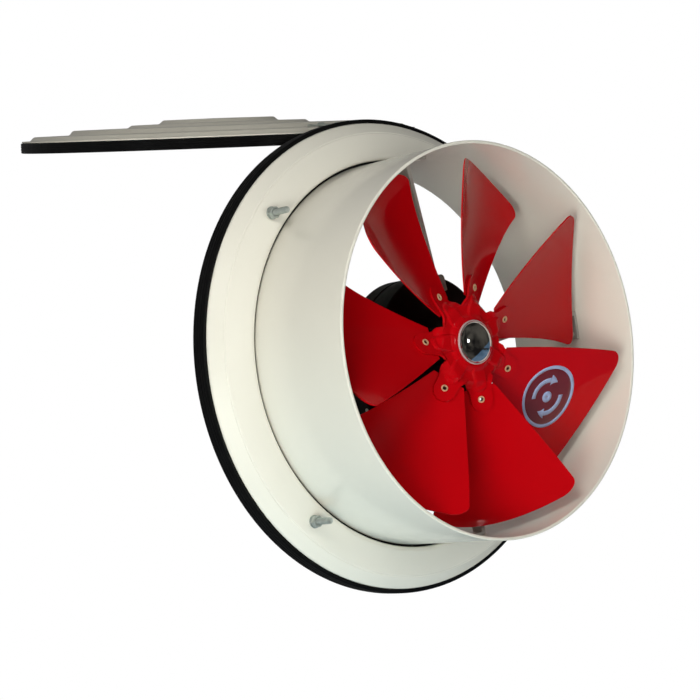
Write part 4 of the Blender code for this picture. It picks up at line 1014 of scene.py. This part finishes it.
def build_lid():
    rim, *levels = sheet_levels()
    first_radius = LID_RADIUS - LID_BORDER
    radii = [first_radius] + [LID_RADIUS * share for share in STEP_SHARES]
    bend = 0.0035
    corners = [(0, levels[-1] + LID_CROWN)]
    for tier in (3, 2, 1):
        corners.append((radii[tier] - LID_FOLD, levels[tier], bend))
        corners.append((radii[tier], levels[tier - 1] + LID_CROWN, bend))
    corners += [(first_radius - LID_FOLD, levels[0], bend), (first_radius, rim, 0.0015)]
    corners.append((LID_RADIUS - 0.0013, rim))
    middle = rounded(corners, closed=False, arc=6)
    disc = lathe("lid_sheet", thick_line(middle, LID_SHEET), LID, closed=False)
    dress(disc, "shutter_paint", "shutter_disc", body="shutter")

    tongue = LID_RUBBER - 0.0006
    tongue_top = tongue + 0.002
    inner = TUBE_INNER - 0.002
    outer = first_radius - LID_FOLD * 0.9
    corners = [(LID_RADIUS - 0.0004, LID_RUBBER, 0.0024)]
    for share in (0.75, 0.5, 0.25):
        corners += groove(LID_RADIUS, LID_RUBBER * share, -0.0006, 0.0005)
    corners += [
        (LID_RADIUS - 0.0003, 0, 0.0022), (LID_RADIUS - 0.01, 0, 0.0014),
        (LID_RADIUS - 0.01, tongue, 0.0008), (inner, tongue, 0.0006), (inner, tongue_top, 0.0006),
        (outer, tongue_top, 0.0004), (outer + 0.0008, LID_RUBBER, 0.0003),
    ]
    rubber = lathe("lid_rubber", rounded(corners, arc=4), LID)
    dress(rubber, "black_rubber", "shutter_seal", body="shutter")


def knuckle(name, low, high, placing, look, node, body="housing"):
    bore, edge = PIN_RADIUS + 0.0001, 0.0004
    profile = [(bore, low), (KNUCKLE_RADIUS, low, edge), (KNUCKLE_RADIUS, high, edge), (bore, high)]
    dress(lathe(name, rounded(profile, arc=3), placing, SMALL_STEPS), look, node, body=body)


def build_leaf():
    """The hinge leaf with its knuckle and rivets, in the frame of the pin."""
    rim, first = sheet_levels()[:2]
    lift = LID_SHEET / 2 - (HINGE_DEPTH - LID_FRONT) + CLEARANCE
    over_rim, over_tier = rim + lift, first + LID_CROWN + lift
    top = over_tier + LEAF_SHEET
    start, bottom = KNUCKLE_RADIUS * 0.55, KNUCKLE_RADIUS * 0.4
    lid_edge = HINGE_HEIGHT - LID_RADIUS
    ramp_start, ramp_end = lid_edge * 0.55, lid_edge + LID_BORDER * 0.85
    ramp_rise = over_rim + CLEARANCE / 3
    outline = rounded([
        (start, bottom), (ramp_start, bottom + LEAF_SHEET * 0.6, 0.002), (lid_edge, ramp_rise, 0.003),
        (ramp_end, over_tier, 0.004), (LEAF_LENGTH, over_tier), (LEAF_LENGTH, top),
        (ramp_end - LEAF_SHEET * 0.35, top, 0.005),
        (lid_edge - LEAF_SHEET / 2, ramp_rise + LEAF_SHEET * 1.1, 0.004),
        (ramp_start - LEAF_SHEET, KNUCKLE_RADIUS * 0.95, 0.002), (start * 0.4, KNUCKLE_RADIUS * 0.9),
    ], arc=5)
    side_to_pivot = Matrix(((0, 0, 1, 0), (0, 1, 0, 0), (-1, 0, 0, 0), (0, 0, 0, 1)))
    leaf = prism("leaf_plate", outline, -LEAF_HALF, LEAF_HALF, PIVOT @ side_to_pivot)
    dress(bevel(leaf, 0.0003), "zinc_plate", "hinge_leaf", body="shutter")
    across = PIVOT @ axis_frame(Vector((0, 0, 0)), Vector((1, 0, 0)))
    knuckle("leaf_knuckle", -LEAF_HALF, LEAF_HALF, across, "zinc_plate", "hinge_leaf", body="shutter")
    low = over_tier - LID_SHEET - CLEARANCE * 2
    profile = rounded([
        (0, top + 0.0016), (0.003, top + 0.0014, 0.002), (0.004, top, 0.0004), (0.002, top),
        (0.002, low), (0.0034, low, 0.0003), (0.0032, low - 0.001, 0.0006), (0, low - 0.0011),
    ], closed=False, arc=5)
    for number, side in ((1, -0.6), (2, 0.6)):
        shift = Matrix.Translation((LEAF_HALF * side, 0, -LEAF_LENGTH * 0.75))
        placing = PIVOT @ shift @ Matrix.Rotation(-TURN / 4, 4, "X")
        stud = lathe(f"leaf_stud_{number}", profile, placing, SMALL_STEPS)
        dress(stud, "zinc_plate", f"leaf_rivet_{number}", body="shutter")


def build_bracket():
    """The hinge bracket on the flange's skirt, with its two knuckles, and the pin."""
    front, rear = SEAT_DEPTH + SKIRT_CORNER + CLEARANCE, HINGE_DEPTH - KNUCKLE_RADIUS
    low_face = PLATE_TOP - BRACKET_SHEET
    to_world = Matrix(((0, 0, 1, 0), (1, 0, 0, -SEAT_DEPTH), (0, 1, 0, 0), (0, 0, 0, 1)))
    plate = [(front, low_face), (rear, low_face), (rear, PLATE_TOP), (front, PLATE_TOP)]
    bracket = prism("bracket_plate", plate, -BRACKET_HALF, BRACKET_HALF, to_world)
    dress(bevel(bracket, 0.0004), "cream_paint", "hinge_bracket")
    turning = axis_frame(PIN_PLACE, Vector((1, 0, 0)))
    web = rounded([
        (rear - BRACKET_SHEET * 1.5, PLATE_TOP - BRACKET_SHEET / 2),
        (rear - BRACKET_SHEET * 1.2, PLATE_TOP - BRACKET_SHEET * 1.6, 0.001),
        (HINGE_DEPTH - KNUCKLE_RADIUS * 0.85, HINGE_HEIGHT - KNUCKLE_RADIUS * 0.2),
        (HINGE_DEPTH, HINGE_HEIGHT + KNUCKLE_RADIUS * 0.8),
        (HINGE_DEPTH - KNUCKLE_RADIUS * 0.3, PLATE_TOP - BRACKET_SHEET * 0.9, 0.001),
        (rear - BRACKET_SHEET * 0.2, PLATE_TOP - CLEARANCE, 0.001),
    ], arc=4)
    for number, sign in ((1, -1), (2, 1)):
        low, high = sorted((sign * (LEAF_HALF + CLEARANCE), sign * BRACKET_HALF))
        knuckle(f"bracket_knuckle_{number}", low, high, turning, "cream_paint", "hinge_bracket")
        block = prism(f"bracket_web_{number}", web, low, high, to_world)
        dress(bevel(block, 0.0003), "cream_paint", "hinge_bracket")
    half = BRACKET_HALF + CLEARANCE * 0.5
    head = [(0, half + 0.0017), (0.003, half + 0.0016, 0.0015), (0.004, half, 0.0003), (PIN_RADIUS, half)]
    tail = [(r, -height, *bend) for r, height, *bend in head[::-1]]
    pin = lathe("pin_rod", rounded(head + tail, closed=False, arc=5), turning, SMALL_STEPS)
    dress(pin, "zinc_plate", "hinge_pin")


# Solids that stay as they are, with a finish of their own
CARRIED = {
    "front_bearing": "zinc_plate", "rear_bearing": "zinc_plate", "stator_core": "core_steel",
    "rotor_core": "core_steel", "motor_shaft": "core_steel", "hub_sleeve": "black_paint",
    "shaft_nut": "zinc_plate",
}


def dress_carried():
    for node, look in CARRIED.items():
        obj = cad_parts[node]
        obj.data.materials.clear()
        material, slot = MATERIALS[look]
        obj.data.materials.append(material)


# Camera, floor and light

CAMERA_LENS = 116.9
CAMERA_PLACE = (-1.4195, -1.59966, -0.02152)
CAMERA_ANGLES = (-40.477, 90.838, -7.916)
WORLD_LEVEL = 0.035
FLOOR_DROP = 0.8

# Azimuth and elevation of a lamp as seen from the fan, distance, size, power, colour, seen in gloss
LAMPS = {
    "key": (-58, -12, 2, 0.9, 18.5, (0.99, 1, 0.93), False),
    "upper": (-58, 33, 2, 0.9, 14.2, (1, 0.98, 0.93), False),
    "front": (-5, 8, 2, 0.9, 5, (0.95, 1, 1), False),
    "low": (-90, -60, 0.85, 0.5, 1.5, (0.4, 0.82, 1), False),
    "right": (102, 4, 2, 0.9, 10, (1, 0.99, 0.97), False),
    "back": (160, 14, 2, 0.9, 7, (1, 0.99, 0.97), False),
    "top": (175, 50, 2, 1.2, 6, (1, 0.99, 0.97), False),
    "spark": (2, 6, 2.2, 0.27, 3.4, (1, 1, 1), True),
}

# Azimuths, lowest elevation and highest ones from side to side, distance, dark and light colour
CARDS = {
    "dark_card": ((-88, 88), -88, (88, 88), 3.6, (0.012, 0.011, 0.01), (0.085, 0.078, 0.064)),
    "back_card": ((88, 272), -88, (88, 88), 3.6, (0.12, 0.12, 0.12), (0.2, 0.2, 0.2)),
    "blue_card": (
        (10, 100), -80, (-55, -32, -17, -7, -2, 3, 6), 3.4,
        (0.07, 0.125, 0.19), (0.15, 0.225, 0.31),
    ),
}


def build_camera():
    data = bpy.data.cameras.new("camera")
    data.lens = CAMERA_LENS
    data.clip_end = 50
    camera = bpy.data.objects.new("camera", data)
    turns = [Matrix.Rotation(radians(angle), 4, axis) for angle, axis in zip(CAMERA_ANGLES, "ZXZ")]
    camera.matrix_world = Matrix.Translation(CAMERA_PLACE) @ turns[0] @ turns[1] @ turns[2]
    bpy.context.scene.collection.objects.link(camera)
    bpy.context.scene.camera = camera


def build_world():
    """White to the eye and in gloss, and a soft level for the rest."""
    world = bpy.data.worlds.new("studio")
    bpy.context.scene.world = world
    n = Nodes(world)
    white = (1, 1, 1)
    soft = n.add("ShaderNodeBackground", {"Color": white, "Strength": WORLD_LEVEL})
    bright = n.add("ShaderNodeBackground", {"Color": white, "Strength": 1})
    path = n.add("ShaderNodeLightPath").outputs
    seen = n.math("MAXIMUM", path["Is Camera Ray"], path["Is Glossy Ray"])
    n.end(n.mix_shaders(n.math("MAXIMUM", seen, path["Is Transmission Ray"]), soft, bright))


def direction(azimuth, elevation):
    """Direction from the fan, with both angles in degrees and 0 straight out of the mouth."""
    a, e = radians(azimuth), radians(elevation)
    return Vector((sin(a) * cos(e), -cos(a) * cos(e), sin(e)))


def build_lamps():
    centre = Vector((0, -0.05, 0))
    for name, (azimuth, elevation, distance, size, power, colour, in_gloss) in LAMPS.items():
        data = bpy.data.lights.new(name, "AREA")
        data.shape = "DISK"
        data.size = size
        data.energy = power
        data.color = colour
        lamp = bpy.data.objects.new(name, data)
        lamp.visible_camera = False
        lamp.visible_glossy = in_gloss
        towards = direction(azimuth, elevation)
        lamp.matrix_world = axis_frame(centre + towards * distance, towards)
        bpy.context.scene.collection.objects.link(lamp)


def build_cards():
    """Cards that gloss alone sees. They reach down to the floor.

    One is dark, in front of the fan, one is grey, behind it, and one is pale blue, low on the right.
    """
    over_floor = FLOOR_DROP / 3.65
    columns, lines = 30, 24
    for name, (sides, bottom, tops, distance, dark, light) in CARDS.items():
        n = Nodes(bpy.data.materials.new(name))
        colour = n.mix(n.remap(n.noise(0.55, 2), 0.38, 0.62), dark, light)
        n.end(n.add("ShaderNodeEmission", {"Color": colour}))
        rows = []
        for i in range(lines + 1):
            row = []
            for k in range(columns + 1):
                top = float(np.interp(k / columns, np.linspace(0, 1, len(tops)), tops))
                azimuth = sides[0] + (sides[1] - sides[0]) * k / columns
                ray = direction(azimuth, bottom + (top - bottom) * i / lines)
                row.append(ray * (distance * min(1, over_floor / max(0.01, -ray.z))))
            rows.append(row)
        card = grid(name, rows)
        card.data.materials.append(n.owner)
        for kind in ("camera", "diffuse", "shadow", "transmission", "volume_scatter"):
            setattr(card, f"visible_{kind}", False)


def build_floor():
    """A pale floor that keeps the shadow near the object and runs out into white."""
    n = Nodes(bpy.data.materials.new("floor"))
    n.fill(n.shader, {"Base Color": (0.84, 0.84, 0.83), "Roughness": 0.8, "Specular IOR Level": 0})
    spread = n.add("ShaderNodeVectorMath", {0: n.place}, operation="LENGTH").outputs["Value"]
    path = n.add("ShaderNodeLightPath").outputs
    seen = n.math("MAXIMUM", path["Is Camera Ray"], path["Is Glossy Ray"])
    share = n.math("MULTIPLY", n.remap(spread, 0.3, 1.2, 0.35, 1), seen)
    n.end(n.mix_shaders(share, n.shader, n.add("ShaderNodeEmission", {"Strength": 1})))
    half = 4
    corners = [(-half, -half, 0), (half, -half, 0), (half, half, 0), (-half, half, 0)]
    floor = add_mesh("floor", corners, [(0, 1, 2, 3)])
    floor.location = (0, 0.05, -FLOOR_DROP)
    floor.data.materials.append(n.owner)


build_camera()
build_tube()
build_flange()
build_flange_rubber()
build_studs()
build_blades()
build_spider()
build_eyelets()
build_label()
build_cap()
build_motor()
build_ears()
build_arms()
build_motor_box()
build_groove_shade()
build_gland()
build_lid()
build_leaf()
build_bracket()
dress_carried()
build_world()
build_lamps()
build_cards()
build_floor()
bpy.context.scene.view_settings.view_transform = "Standard"
